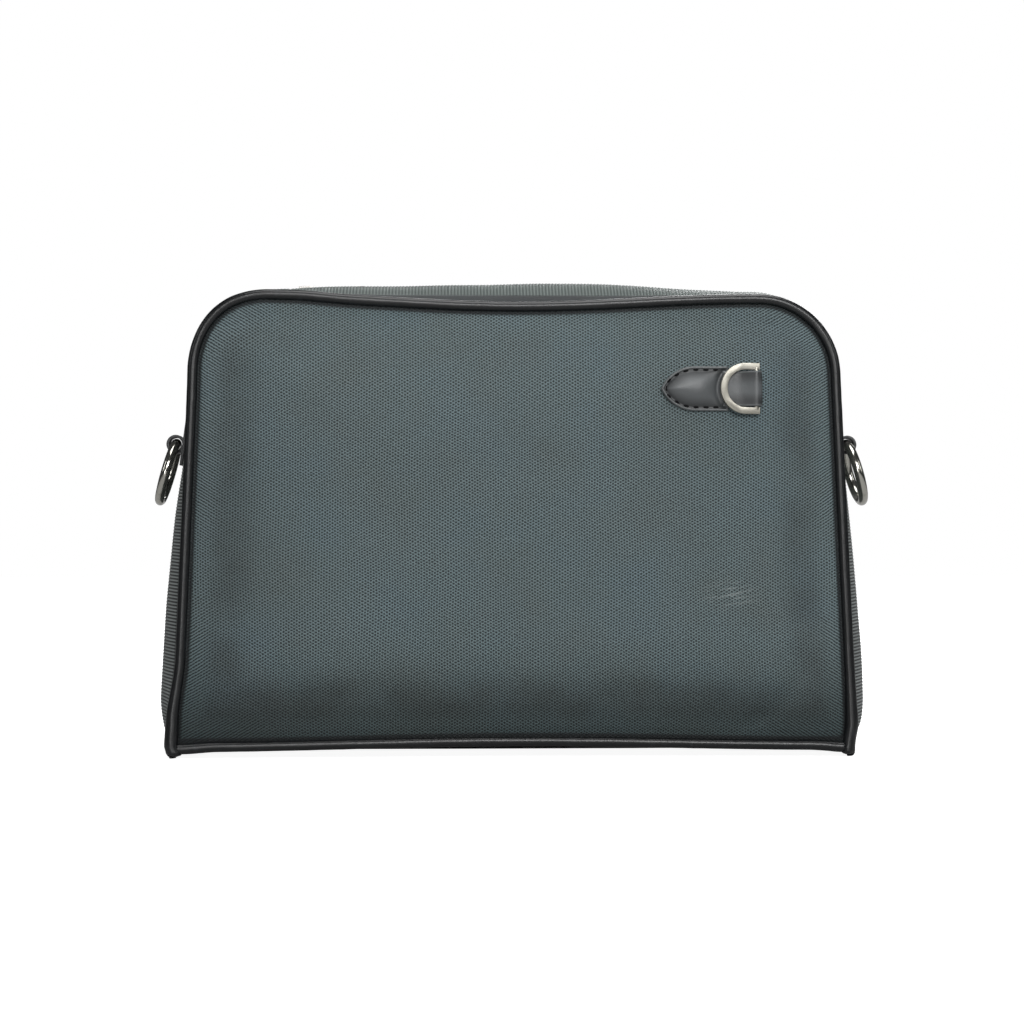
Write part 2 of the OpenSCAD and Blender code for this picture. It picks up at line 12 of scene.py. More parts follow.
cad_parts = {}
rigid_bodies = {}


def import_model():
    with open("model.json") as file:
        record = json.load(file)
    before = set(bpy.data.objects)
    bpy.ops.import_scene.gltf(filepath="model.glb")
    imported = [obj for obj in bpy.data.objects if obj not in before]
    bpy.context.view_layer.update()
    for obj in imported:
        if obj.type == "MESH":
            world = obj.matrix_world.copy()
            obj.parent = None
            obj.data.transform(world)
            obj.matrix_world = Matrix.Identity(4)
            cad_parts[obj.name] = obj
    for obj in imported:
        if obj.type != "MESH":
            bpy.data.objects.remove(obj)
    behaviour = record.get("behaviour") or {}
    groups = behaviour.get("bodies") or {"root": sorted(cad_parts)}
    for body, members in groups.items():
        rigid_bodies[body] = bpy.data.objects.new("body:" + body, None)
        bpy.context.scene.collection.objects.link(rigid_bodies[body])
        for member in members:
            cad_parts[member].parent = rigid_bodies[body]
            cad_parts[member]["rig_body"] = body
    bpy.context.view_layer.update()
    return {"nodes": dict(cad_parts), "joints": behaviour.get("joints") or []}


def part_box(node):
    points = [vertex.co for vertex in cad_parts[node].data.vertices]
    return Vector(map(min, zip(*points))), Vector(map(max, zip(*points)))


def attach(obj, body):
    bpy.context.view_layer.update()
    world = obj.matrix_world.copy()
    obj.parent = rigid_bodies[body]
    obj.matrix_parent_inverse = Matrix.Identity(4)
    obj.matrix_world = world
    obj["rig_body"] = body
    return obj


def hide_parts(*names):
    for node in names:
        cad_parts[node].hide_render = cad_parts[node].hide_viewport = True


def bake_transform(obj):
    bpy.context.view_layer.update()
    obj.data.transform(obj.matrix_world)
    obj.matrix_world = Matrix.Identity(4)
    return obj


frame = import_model()
MM = 0.001


# ---- The bag's outline, as the frame has it ----
BASE_HALF_W = 144.8
BASE_Z = 4.9
BASE_RISE = 2.0
PANEL_TOP = 197.3
TOP_DIP = 3.6
SIDE_LEAN = math.radians(2.2)
CORNER_R = 33.0
HALF_DEPTH = 39.0
HALF_DEPTH_TOP = 28.0
DOME = 8.0
PANEL_MIDDLE = np.array([0.0, 100.0])
PIPING_R = 2.25
ARCH_Z = 2.4
FACES = (("front", -1), ("back", 1))
SIDES = (("left", -1), ("right", 1))

CLOTH_T = 1.2
FOAM_T = 2.4
LINING_T = 0.6
LAYER_GAP = 0.1
FOAM_OUT = -CLOTH_T / 2 - LAYER_GAP
LINING_OUT = FOAM_OUT - FOAM_T - LAYER_GAP

CROWN = 206.0
ZIP_ARC_R = 1750.0
MOUTH_HALF = 98.0
MOUTH_GAP = 0.4
HINGE_Y = 22.9
HINGE_Z = 198.9
TAPE_DROP = 4.2
COIL_HALF_W = 2.7
COIL_END = 92.3

FACE_SLOPE = (HALF_DEPTH - HALF_DEPTH_TOP) / PANEL_TOP
FACE_LEAN = math.atan(FACE_SLOPE)
CORNER_Z = PANEL_TOP - CORNER_R


def face_y(z):
    """How far the front and back planes lie from the middle at a height."""
    return HALF_DEPTH - z * FACE_SLOPE


def side_x(z):
    """Half the width of a panel at a height below its top corners."""
    return BASE_HALF_W - (z - BASE_Z) * math.tan(SIDE_LEAN)


CORNER_X = side_x(CORNER_Z) - CORNER_R / math.cos(SIDE_LEAN)


def top_z(x):
    return PANEL_TOP - TOP_DIP * np.cos(np.pi / 2 * np.minimum(np.abs(x) / CORNER_X, 1)) ** 2


def bottom_z(x):
    return BASE_Z + BASE_RISE * np.cos(np.pi / 2 * np.minimum(np.abs(x) / BASE_HALF_W, 1)) ** 2


def crown_at(x):
    return CROWN - (ZIP_ARC_R - np.sqrt(ZIP_ARC_R**2 - x * x))


def crown_look(x):
    """The strip's crown as its cloth lies: a little slack, and highest right of the middle."""
    return crown_at(x) - 1.25 + 0.75 * bell(x, 32, 28) + 0.75 * bell(x, -88, 30)


def arch_path(low, step=2.0):
    """The outline as [x, z] points: up from the right foot, over the top and down to the left foot."""
    sides = max(2, round((CORNER_Z - low) / step))
    z = np.linspace(low, CORNER_Z, sides, endpoint=False)
    side = np.stack([side_x(z), z], 1)
    turn = np.linspace(SIDE_LEAN, math.pi / 2, round(CORNER_R * 1.5 / step))
    corner = np.stack([CORNER_X + CORNER_R * np.cos(turn), CORNER_Z + CORNER_R * np.sin(turn)], 1)
    x = np.linspace(CORNER_X, -CORNER_X, round(2 * CORNER_X / step))[1:-1]
    top = np.stack([x, top_z(x)], 1)
    right = np.concatenate([side, corner])
    return np.concatenate([right, top, (right * [-1, 1])[::-1]])


def gauge(points, line):
    """How far out of the panel's middle each point lies, where 1 is on the line."""
    a, b = line[:-1], line[1:]
    n = np.stack([b[:, 1] - a[:, 1], a[:, 0] - b[:, 0]], 1)
    reach = (n * (a - PANEL_MIDDLE)).sum(1)
    return ((points - PANEL_MIDDLE) @ n.T / reach).max(1)


def edge_distance(x, z):
    """Distance from a point of a panel to its outline."""
    ax = np.abs(x)
    side = (side_x(z) - ax) * math.cos(SIDE_LEAN)
    d = np.minimum(side, top_z(x) - z)
    in_corner = (ax > CORNER_X) & (z > CORNER_Z)
    d = np.where(in_corner, CORNER_R - np.hypot(ax - CORNER_X, z - CORNER_Z), d)
    return np.minimum(d, z - bottom_z(x))


def bell(value, middle, width):
    return np.exp(-(((value - middle) / width) ** 2))


def smooth(value, low, high):
    t = np.clip((value - low) / (high - low), 0, 1)
    return t * t * (3 - 2 * t)


def xyz(x, y, z):
    """Points from their coordinates, which may be numbers or arrays of different shapes."""
    return np.stack(np.broadcast_arrays(x, y, z), -1)


def crowded(count):
    """A row of values from -1 to 1, closer together towards both ends."""
    return np.sin(np.linspace(-math.pi / 2, math.pi / 2, count))[None, :]


def wobble(x, z, size, seed):
    """Smooth noise from -1 to 1 over a surface, with bumps about size millimetres wide."""
    flat = np.stack(np.broadcast_arrays(x, z), -1).reshape(-1, 2) / size
    values = [noise.noise((float(p[0]), float(p[1]), seed)) for p in flat]
    return np.array(values).reshape(np.broadcast(x, z).shape)


# ---- The unevenness of a filled bag ----
LEFT_CORNER_OUT = 2.2
LEFT_TOP_LIFT = 1.0
RIGHT_FOOT_IN = 2.4
LEFT_FLARE = 2.3


def settled(points):
    """Moves points so that the top left corner and the lower left seams stand further out, and the
    right foot is drawn in."""
    x, y, z = np.asarray(points, float).T
    across, up = x + CORNER_X, z - CORNER_Z
    turn = np.degrees(np.arctan2(up, -across))
    reach = np.hypot(across, up)
    out = LEFT_CORNER_OUT * bell(turn, 56, 34) * smooth(reach, 6, 30)
    # The zip's pull lies in the middle of the top, and is left alone
    out = out * (1 - (1 - smooth(np.abs(y), 12, 22)) * smooth(turn, 45, 65))
    near = np.maximum(reach, 1e-6)
    lift = LEFT_TOP_LIFT * bell(x, -94, 15) * smooth(z, 160, 190) * smooth(np.abs(y), 17, 24)
    foot = RIGHT_FOOT_IN * smooth(x, 132, 147) * (1 - smooth(z, 2, 16))
    flare = LEFT_FLARE * smooth(-x, 118, 142) * smooth(np.abs(y), 24, 36)
    flare = flare * (1 - smooth(z, 16, 42)) * (0.25 + 0.75 * smooth(z, 0, 6))
    return xyz(x + out * across / near - foot - flare, y, z + out * up / near + lift)


# ---- Mesh tools ----
def linked(name, data):
    """A new object in the scene."""
    thing = bpy.data.objects.new(name, data)
    bpy.context.scene.collection.objects.link(thing)
    return thing


def make(name, points, faces, marks=(), body="bag"):
    """One piece from points in millimetres, with its faces turned outward."""
    mesh = bpy.data.meshes.new(name)
    mesh.from_pydata((settled(points) * MM).tolist(), [], faces)
    for key, values in dict(marks).items():
        values = np.asarray(values, np.float32)
        kind = "FLOAT" if values.ndim == 1 else "FLOAT_VECTOR"
        slot = mesh.attributes.new(key, kind, "POINT")
        slot.data.foreach_set("value" if values.ndim == 1 else "vector", values.ravel())
    work = bmesh.new()
    work.from_mesh(mesh)
    bmesh.ops.recalc_face_normals(work, faces=work.faces)
    work.to_mesh(mesh)
    work.free()
    mesh.polygons.foreach_set("use_smooth", [True] * len(mesh.polygons))
    piece = linked(name, mesh)
    if body:
        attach(piece, body)
    return piece


def grid_faces(rows, columns, first=0, wrap=False, ring=False):
    """Quads over a grid of points; wrap joins the last column to the first, and ring the last row."""
    faces = []
    for i in range(rows if ring else rows - 1):
        low, high = first + i * columns, first + (i + 1) % rows * columns
        for j in range(columns if wrap else columns - 1):
            k = (j + 1) % columns
            faces.append((low + j, low + k, high + k, high + j))
    return faces


def slab(outer, inner):
    """Points and faces of a closed sheet between two grids of the same size."""
    rows, columns = outer.shape[:2]
    count = rows * columns
    faces = grid_faces(rows, columns)
    faces += [tuple(reversed(f)) for f in grid_faces(rows, columns, count)]
    rim = list(range(columns))
    rim += [i * columns + columns - 1 for i in range(1, rows)]
    rim += [(rows - 1) * columns + j for j in range(columns - 2, -1, -1)]
    rim += [i * columns for i in range(rows - 2, 0, -1)]
    faces += [(b, a, a + count, b + count) for a, b in zip(rim, rim[1:] + rim[:1])]
    return np.concatenate([outer.reshape(-1, 3), inner.reshape(-1, 3)]), faces


def twice(values):
    """One attribute's values for both grids of a slab."""
    flat = values.reshape(-1, values.shape[-1]) if values.ndim == 3 else values.ravel()
    return np.concatenate([flat, flat])


def on_cloth(x, y):
    """The cloth's own coordinates, which its weave follows."""
    return xyz(x, y, 0.0) * MM


def sheet_piece(name, outer, inner, slot, node=None, body="bag", **marks):
    """A closed sheet between two grids of points, with a value of each mark for each point."""
    points, faces = slab(outer, inner)
    piece = make(name, points, faces, {key: twice(values) for key, values in marks.items()}, body)
    return dress(piece, slot, node)


def lengths(path):
    steps = np.linalg.norm(np.diff(path, axis=0), axis=1)
    return np.concatenate([[0], np.cumsum(steps)])


def along(path, where):
    """The points at given lengths along a path."""
    s = lengths(path)
    return np.stack([np.interp(where, s, path[:, i]) for i in (0, 1)], -1)


def tangents(path):
    t = np.gradient(path, axis=0)
    return t / np.linalg.norm(t, axis=1, keepdims=True)


def caps(count, sides, first=0):
    """The two end faces of a tube whose points run from first to count."""
    return [tuple(range(first, first + sides)), tuple(range(count - 1, count - sides - 1, -1))]


def sweep(name, path, sides, profile, up, body="bag"):
    """A closed tube along a path. profile gives [across, up] offsets for each point round it, and may vary
    along the path; up is the direction, or one direction for each point, that the profile's up takes."""
    path = np.asarray(path, float)
    t = tangents(path)
    up = np.broadcast_to(np.asarray(up, float), path.shape)
    across = np.cross(t, up)
    across /= np.linalg.norm(across, axis=1, keepdims=True)
    up = np.cross(across, t)
    s = lengths(path)
    section = np.stack([profile(k, s) for k in range(sides)], 1)
    points = path[:, None] + across[:, None] * section[..., :1] + up[:, None] * section[..., 1:]
    faces = grid_faces(len(path), sides, wrap=True)
    points = points.reshape(-1, 3)
    faces += caps(len(points), sides)
    round_it = np.tile(np.arange(sides) / sides, len(path))
    cloth = xyz(np.repeat(s, sides) * MM, round_it, 0.0)
    return make(name, points, faces, {"cloth": cloth}, body)


def ring_profile(radius, sides):
    def at(k, s):
        a = 2 * math.pi * k / sides
        return np.stack([np.full_like(s, radius * math.cos(a)), np.full_like(s, radius * math.sin(a))], 1)
    return at


def softened(node, name, width, slot):
    """A copy of a CAD node with its sharp edges rounded, which stands for the node."""
    source = frame["nodes"][node]
    mesh = source.data.copy()
    work = bmesh.new()
    work.from_mesh(mesh)
    bmesh.ops.remove_doubles(work, verts=work.verts, dist=1e-6)
    bmesh.ops.dissolve_limit(work, angle_limit=math.radians(0.5), verts=work.verts, edges=work.edges)
    for face in work.faces:
        face.smooth = True
    work.to_mesh(mesh)
    work.free()
    piece = linked(name, mesh)
    bevel = piece.modifiers.new("bevel", "BEVEL")
    bevel.width = width * MM
    bevel.segments = 3
    bevel.limit_method = "ANGLE"
    bevel.angle_limit = math.radians(35)
    bevel.harden_normals = True
    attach(piece, source["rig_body"])
    dress(piece, slot, node)


# ---- Materials ----
class Look:
    """Builds one material's nodes. Values may be numbers or sockets."""

    def __init__(self, name):
        self.material = bpy.data.materials.new(name)
        self.material.use_nodes = True
        self.tree = self.material.node_tree
        self.shader = self.tree.nodes["Principled BSDF"]

    def put(self, socket, value):
        if isinstance(value, bpy.types.NodeSocket):
            self.tree.links.new(value, socket)
        elif hasattr(value, "__len__") and socket.type == "RGBA":
            socket.default_value = (*value, 1.0)
        else:
            socket.default_value = value

    def add(self, kind, inputs=(), **settings):
        node = self.tree.nodes.new(kind)
        for key, value in settings.items():
            setattr(node, key, value)
        for key, value in dict(inputs).items():
            self.put(node.inputs[key], value)
        return node

    def math(self, operation, a, b=0.0, c=0.0):
        node = self.add("ShaderNodeMath", operation=operation)
        for socket, value in zip(node.inputs, (a, b, c)):
            self.put(socket, value)
        return node.outputs[0]

    def times(self, a, b):
        return self.math("MULTIPLY", a, b)

    def times_plus(self, a, b, c):
        return self.math("MULTIPLY_ADD", a, b, c)

    def wave(self, x, pitch):
        """A cosine that repeats once a pitch."""
        return self.math("COSINE", self.times(x, 2 * math.pi / pitch))

    def vector(self, operation, a, b=(0, 0, 0)):
        node = self.add("ShaderNodeVectorMath", operation=operation)
        self.put(node.inputs[0], a)
        self.put(node.inputs[1], b)
        return node.outputs[0]

    def scaled(self, a, factor):
        node = self.add("ShaderNodeVectorMath", operation="SCALE")
        self.put(node.inputs[0], a)
        node.inputs["Scale"].default_value = factor
        return node.outputs[0]

    def cloth(self):
        """The piece's own surface coordinates, in millimetres."""
        return self.scaled(self.add("ShaderNodeAttribute", attribute_name="cloth").outputs["Vector"], 1000)

    def place(self):
        """The place on the object, in millimetres."""
        return self.scaled(self.add("ShaderNodeTexCoord").outputs["Object"], 1000)

    def value(self, attribute):
        return self.add("ShaderNodeAttribute", attribute_name=attribute).outputs["Fac"]

    def split(self, vector):
        return self.add("ShaderNodeSeparateXYZ", {"Vector": vector}).outputs

    def noise(self, vector, scale, detail=2.0, roughness=0.5, colour=False):
        inputs = {"Vector": vector, "Scale": scale, "Detail": detail, "Roughness": roughness}
        return self.add("ShaderNodeTexNoise", inputs).outputs["Color" if colour else "Fac"]

    def cells(self, vector, scale):
        return self.add("ShaderNodeTexVoronoi", {"Vector": vector, "Scale": scale}).outputs["Distance"]

    def range(self, value, low, high, to_low=0.0, to_high=1.0):
        inputs = {"Value": value, "From Min": low, "From Max": high, "To Min": to_low, "To Max": to_high}
        return self.add("ShaderNodeMapRange", inputs, interpolation_type="SMOOTHSTEP").outputs["Result"]

    def mix(self, factor, a, b, blend="MIX"):
        node = self.add("ShaderNodeMix", data_type="RGBA", blend_type=blend)
        self.put(node.inputs["Factor"], factor)
        self.put(node.inputs[6], a)
        self.put(node.inputs[7], b)
        return node.outputs[2]

    def tint(self, factor, colour, by):
        return self.mix(factor, colour, by, "MULTIPLY")

    def reach(self, vector):
        return self.add("ShaderNodeVectorMath", {0: vector}, operation="LENGTH").outputs["Value"]

    def bump(self, height, distance, strength):
        inputs = {"Height": height, "Distance": distance * MM, "Strength": strength}
        return self.add("ShaderNodeBump", inputs).outputs["Normal"]

    def finish(self, **inputs):
        for key, value in inputs.items():
            self.put(self.shader.inputs[key.replace("_", " ")], value)
        return self.material


WEAVE_X = 1.14
WEAVE_Z = 1.33
RIB_PITCH = 1.42
THREAD_PITCH = 1.1


def nylon(look, base, grain):
    """The inputs that both kinds of nylon share."""
    return {
        "Base_Color": base,
        "Roughness": look.range(grain, 0.2, 0.8, 0.52, 0.74),
        "Specular_IOR_Level": 0.3,
        "Sheen_Weight": 0.08,
        "Sheen_Roughness": 0.5,
    }


def woven_nylon():
    """Coarse nylon with dark holes set in staggered rows, painted shade in a band inside its seams, low down
    and on the left, and a few light scuffs.
    """
    look = Look("woven_nylon")
    at = look.cloth()
    drift = look.vector("SUBTRACT", look.noise(at, 0.02, 1, colour=True), (0.5, 0.5, 0.5))
    shake = look.vector("SUBTRACT", look.noise(at, 0.35, 1, colour=True), (0.5, 0.5, 0.5))
    moved = look.vector("ADD", at, look.vector("ADD", look.scaled(drift, 3.0), look.scaled(shake, 0.5)))
    x, z = look.split(moved)[:2]
    holes = look.times(look.wave(x, 2 * WEAVE_X), look.wave(z, WEAVE_Z))
    pattern = look.times_plus(look.wave(x, WEAVE_X), 0.38, holes)
    # Towards the sides only one set of slanting threads shows, and it points to the nearer corner
    out = look.math("ABSOLUTE", x)
    edge = look.value("edge")
    for sign, low, full in ((-1, 82, 112), (1, 78, 48)):
        climb = look.times(z, sign * 2 * math.pi / WEAVE_Z)
        slant = look.math("COSINE", look.times_plus(out, math.pi / WEAVE_X, climb))
        near = look.times(look.range(out, 98, 116), look.range(edge, 19, 6))
        near = look.times(near, look.range(z, low, full))
        faint = look.times(pattern, look.times_plus(near, -0.6, 1))
        pattern = look.times_plus(slant, look.times(near, 0.6), faint)
    grain = look.noise(at, 1.6, 2)
    pattern = look.times_plus(look.math("SUBTRACT", grain, 0.5), 1.9, pattern)
    dark = look.range(pattern, -0.85, 0.95)
    base = look.mix(dark, (0.128, 0.174, 0.184), (0.013, 0.018, 0.019))
    # Broad unevenness: greener and browner patches; then painted shade in a band inside the seams, patchy,
    # stronger low down and towards the sides
    side, high = look.split(at)[:2]
    patch = look.noise(at, 0.022, 3, 0.6)
    base = look.tint(look.range(patch, 0.4, 0.75, 0, 0.6), base, (0.92, 0.84, 0.78))
    base = look.tint(look.range(patch, 0.5, 0.25, 0, 0.5), base, (0.94, 1.0, 1.08))
    uneven = look.noise(at, 0.04, 2, 0.5)
    band = look.times(look.range(edge, 7, 16), look.range(edge, 34, 20))
    band = look.times(band, look.range(uneven, 0.3, 0.65, 0.3, 1.0))
    far = look.range(look.math("ABSOLUTE", side), 85, 125, 0.08, 0.75)
    where = look.math("MAXIMUM", look.range(high, 60, 25, 0.0, 0.8), far)
    base = look.tint(look.times(band, where), base, (0.58, 0.56, 0.55))
    # Painted shade: the cloth darkens towards the bottom, where the panel turns down away from the light
    base = look.tint(look.range(high, 56, 8, 0, 0.9), base, (0.34, 0.37, 0.36))
    # Painted shade on the left of the panel below its top, where less light falls
    left = look.times(look.range(side, -60, -135, 0, 0.42), look.range(high, 175, 110))
    base = look.tint(left, base, (0.66, 0.68, 0.70))
    # The cloth is in the shade of the piping where the seam draws it in
    base = look.mix(look.range(edge, 4.5, 3.1, 0, 0.9), base, (0.005, 0.006, 0.007))
    # Scuffs: short pale strokes low on the right
    shifted = look.vector("SUBTRACT", at, (91, 70, 0))
    stretched = look.vector("MULTIPLY", shifted, (1 / 16, 1 / 8, 1))
    across = {"Vector": shifted, "Angle": math.radians(-14)}
    turned = look.add("ShaderNodeVectorRotate", across, rotation_type="Z_AXIS")
    strokes = look.noise(look.vector("MULTIPLY", turned.outputs[0], (0.07, 0.75, 1)), 1.0, 2, 0.6)
    scuff = look.times(look.range(look.reach(stretched), 1.0, 0.2), look.range(strokes, 0.50, 0.60))
    base = look.mix(look.times(scuff, 0.27), base, (0.36, 0.40, 0.40))
    height = look.times_plus(grain, 0.3, look.times(dark, -1))
    return look.finish(**nylon(look, base, grain), Normal=look.bump(height, 0.25, 0.9))


def ribbed_nylon():
    """Cross-ribbed nylon: the ribs are real, and painted shade darkens the hollows between them."""
    look = Look("ribbed_nylon")
    at = look.cloth()
    s, v = look.split(at)[:2]
    grain = look.noise(at, 1.2, 2)
    rib = look.times_plus(look.math("SUBTRACT", grain, 0.5), 0.8, look.wave(s, RIB_PITCH))
    thread = look.wave(v, THREAD_PITCH)
    # Painted shade in the hollows between ribs; on top of the bag it is weaker and the ribs darker, painted
    # for the light that falls from above
    top_lighting = look.range(look.split(look.place())[2], 186, 195)
    light = look.mix(top_lighting, (0.24, 0.266, 0.262), (0.140, 0.167, 0.158))
    valley_shade = look.mix(top_lighting, (0.002, 0.003, 0.003), (0.066, 0.080, 0.075))
    base = look.mix(look.range(rib, -0.5, 0.7), valley_shade, light)
    base = look.mix(look.range(thread, 0.3, 1.0, 0, 0.35), base, (0.03, 0.036, 0.037))
    patch = look.noise(at, 0.03, 2)
    base = look.tint(look.range(patch, 0.35, 0.7, 0, 0.6), base, (0.78, 0.8, 0.8))
    # Painted shade: the cloth darkens beside the piping at its seams
    base = look.mix(look.range(look.value("edge"), 5.2, 3.0, 0, 0.85), base, (0.006, 0.007, 0.008))
    height = look.times_plus(grain, 0.6, look.times(thread, -0.4))
    return look.finish(**nylon(look, base, grain), Normal=look.bump(height, 0.12, 0.7))


def darker(colour, share):
    return tuple(share * c for c in colour)


def leather(name, base, rough, grain_mm, wear, worn=(0.08, 0.085, 0.09), rim=None):
    """Dyed leather with a fine grain and faint blotches; where rim is given, painted shade darkens it towards
    its edges, and an edge paint lines them.
    """
    look = Look(name)
    at = look.place()
    pores = look.cells(at, 1 / grain_mm)
    fine = look.noise(at, 2.2 / grain_mm, 2)
    blotch = look.noise(at, 0.06, 3, 0.6)
    streak = look.noise(look.vector("MULTIPLY", at, (0.5, 0.5, 0.12)), 0.6, 3, 0.7)
    colour = look.mix(look.range(blotch, 0.3, 0.75, 0, 0.7), base, darker(base, 1.6))
    colour = look.mix(look.range(streak, 0.58, 0.75, 0, wear), colour, worn)
    if rim:
        edge = look.value("edge")
        # Painted shade: darker from well inside the edges, so that the padded middle looks lit
        colour = look.mix(look.range(edge, 6.5, 1.8), colour, darker(base, 0.42))
        colour = look.mix(look.range(edge, 1.0, 0.7), colour, rim)
    height = look.times_plus(pores, 0.7, look.times(fine, 0.3))
    roughness = look.range(fine, 0.25, 0.8, rough - 0.07, rough + 0.1)
    return look.finish(Base_Color=colour, Roughness=roughness, Normal=look.bump(height, 0.06, 0.6))


def metal(name, base, rough, brushed=0.0, tarnish=(0.2, 0.19, 0.17), amount=0.35):
    """Plated metal with fine scratches, duller in patches."""
    look = Look(name)
    at = look.place()
    scratches = look.noise(look.vector("MULTIPLY", at, (1.0, 1.0, 9.0)), 1.2, 4, 0.7)
    dull = look.noise(at, 0.35, 3, 0.6)
    colour = look.mix(look.range(dull, 0.5, 0.8, 0, amount), base, tarnish)
    scratched = look.range(scratches, 0.3, 0.8, rough - 0.05, rough + 0.1)
    roughness = look.math("ADD", scratched, look.range(dull, 0.5, 0.8, 0, 0.1))
    normal = look.bump(scratches, 0.012, 0.2 + brushed)
    return look.finish(Base_Color=colour, Metallic=1.0, Roughness=roughness, Normal=normal)


def plain_weave(name, base, pitch, rough=0.75, sheen=0.1, contrast=0.5):
    """A small plain weave: over and under threads a pitch apart."""
    look = Look(name)
    at = look.cloth()
    over, under = (look.math("SINE", look.times(v, math.pi / pitch)) for v in look.split(at)[:2])
    weave = look.times_plus(look.times(over, under), 0.5, 0.5)
    grain = look.noise(at, 0.9, 2)
    patch = look.noise(at, 0.04, 2)
    colour = look.mix(look.times(weave, contrast), base, darker(base, 0.35))
    colour = look.mix(look.range(patch, 0.3, 0.75, 0, 0.4), colour, darker(base, 1.5))
    height = look.times_plus(grain, 0.4, weave)
    return look.finish(
        Base_Color=colour,
        Roughness=look.range(grain, 0.2, 0.8, rough - 0.08, rough + 0.08),
        Sheen_Weight=sheen,
        Sheen_Roughness=0.5,
        Normal=look.bump(height, 0.12, 0.6),
    )


def foam_look():
    look = Look("foam")
    at = look.place()
    cells = look.cells(at, 1.4)
    patch = look.noise(at, 0.05, 2)
    base = look.mix(look.range(cells, 0.1, 0.5), (0.34, 0.33, 0.29), (0.52, 0.50, 0.44))
    base = look.mix(look.range(patch, 0.3, 0.8, 0, 0.4), base, (0.44, 0.40, 0.30))
    return look.finish(Base_Color=base, Roughness=0.95, Normal=look.bump(cells, 0.2, 0.6))


def board_look():
    look = Look("board")
    at = look.place()
    fibre = look.noise(look.vector("MULTIPLY", at, (0.25, 1.5, 1)), 1.2, 3, 0.6)
    fleck = look.noise(at, 0.8, 3, 0.7)
    base = look.mix(look.range(fibre, 0.3, 0.7), (0.16, 0.11, 0.065), (0.27, 0.20, 0.125))
    base = look.mix(look.range(fleck, 0.6, 0.75, 0, 0.7), base, (0.07, 0.05, 0.03))
    return look.finish(Base_Color=base, Roughness=0.9, Normal=look.bump(fibre, 0.08, 0.5))


def plastic_coil():
    look = Look("zip_coil")
    at = look.place()
    grain = look.noise(at, 3.0, 2)
    base = look.mix(look.range(grain, 0.3, 0.7), (0.010, 0.011, 0.012), (0.022, 0.023, 0.025))
    roughness = look.range(grain, 0.2, 0.8, 0.34, 0.5)
    return look.finish(Base_Color=base, Roughness=roughness, Normal=look.bump(grain, 0.03, 0.3))


def thread_look():
    look = Look("thread")
    at = look.place()
    parts = look.split(at)
    twist = look.math("SINE", look.times(look.math("ADD", parts[0], parts[2]), 14.0))
    grain = look.noise(at, 3.0, 2)
    base = look.mix(look.range(twist, -0.6, 0.8), (0.002, 0.002, 0.002), (0.006, 0.006, 0.007))
    return look.finish(
        Base_Color=base,
        Roughness=look.range(grain, 0.2, 0.8, 0.6, 0.8),
        Specular_IOR_Level=0.12,
        Normal=look.bump(twist, 0.05, 0.5),
    )


LOOKS = {
    "woven_nylon": woven_nylon(),
    "ribbed_nylon": ribbed_nylon(),
    "piping_leather": leather(
        "piping_leather", (0.002, 0.0024, 0.003), 0.33, 0.6, wear=0.16, worn=(0.06, 0.07, 0.08)
    ),
    "binding_tape": plain_weave("binding_tape", (0.030, 0.034, 0.036), 0.5),
    "base_leather": leather("base_leather", (0.010, 0.011, 0.012), 0.5, 0.8, wear=0.35),
    "board": board_look(),
    "foam": foam_look(),
    "lining_fabric": plain_weave("lining_fabric", (0.030, 0.034, 0.038), 0.45, rough=0.6, sheen=0.2),
    "zip_tape": plain_weave("zip_tape", (0.018, 0.021, 0.024), 0.55, contrast=0.7),
    "zip_coil": plastic_coil(),
    "zip_metal": metal("zip_metal", (0.42, 0.41, 0.39), 0.3),
    "side_leather": leather("side_leather", (0.012, 0.013, 0.014), 0.42, 0.5, wear=0.2),
    "ring_metal": metal("ring_metal", (0.46, 0.45, 0.41), 0.13, amount=0.5, tarnish=(0.16, 0.15, 0.12)),
    "tab_leather": leather(
        "tab_leather", (0.062, 0.067, 0.070), 0.40, 0.4, wear=0.15, rim=(0.085, 0.092, 0.094)
    ),
    "d_ring_metal": metal(
        "d_ring_metal", (0.37, 0.355, 0.31), 0.42, brushed=0.2, amount=0.4, tarnish=(0.22, 0.21, 0.17)
    ),
    "thread": thread_look(),
}


def dress(piece, slot, node=None):
    """Gives a piece its material and slot, and hides the CAD node that it stands for."""
    piece.data.materials.clear()
    piece.data.materials.append(LOOKS[slot])
    if node:
        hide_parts(node)
    return piece


# ---- Panels: cloth, foam and lining of the front and back ----
ARCH = arch_path(BASE_Z)
FLOOR_LINE = np.array([[-BASE_HALF_W, BASE_Z], [BASE_HALF_W, BASE_Z]])
GAUGE_POWER = 14
FRONT_SEED = 1.5
BACK_SEED = 11.5
SHOULDER_AT = 21.0
SHOULDER_WIDE = 6.5
SHOULDER_DEEP = 0.9
FULL_OUT = 1.5
FULL_Z = 24
VALLEY_DEEP = 1.6
CREASE_X = 84
CREASE_Z = 54
CREASE_R = 42
CREASE_DEEP = 0.9


def dome(x, z):
    """How far a filled panel stands out, before its creases."""
    points = np.stack([x.ravel(), z.ravel()], 1)
    upper = np.maximum(gauge(points, ARCH), 1e-6)
    lower = np.maximum(gauge(points, FLOOR_LINE), 1e-6)
    s = (upper**GAUGE_POWER + lower**GAUGE_POWER) ** (1 / GAUGE_POWER)
    return (DOME * (1 - np.minimum(s, 1.0) ** 4)).reshape(x.shape)


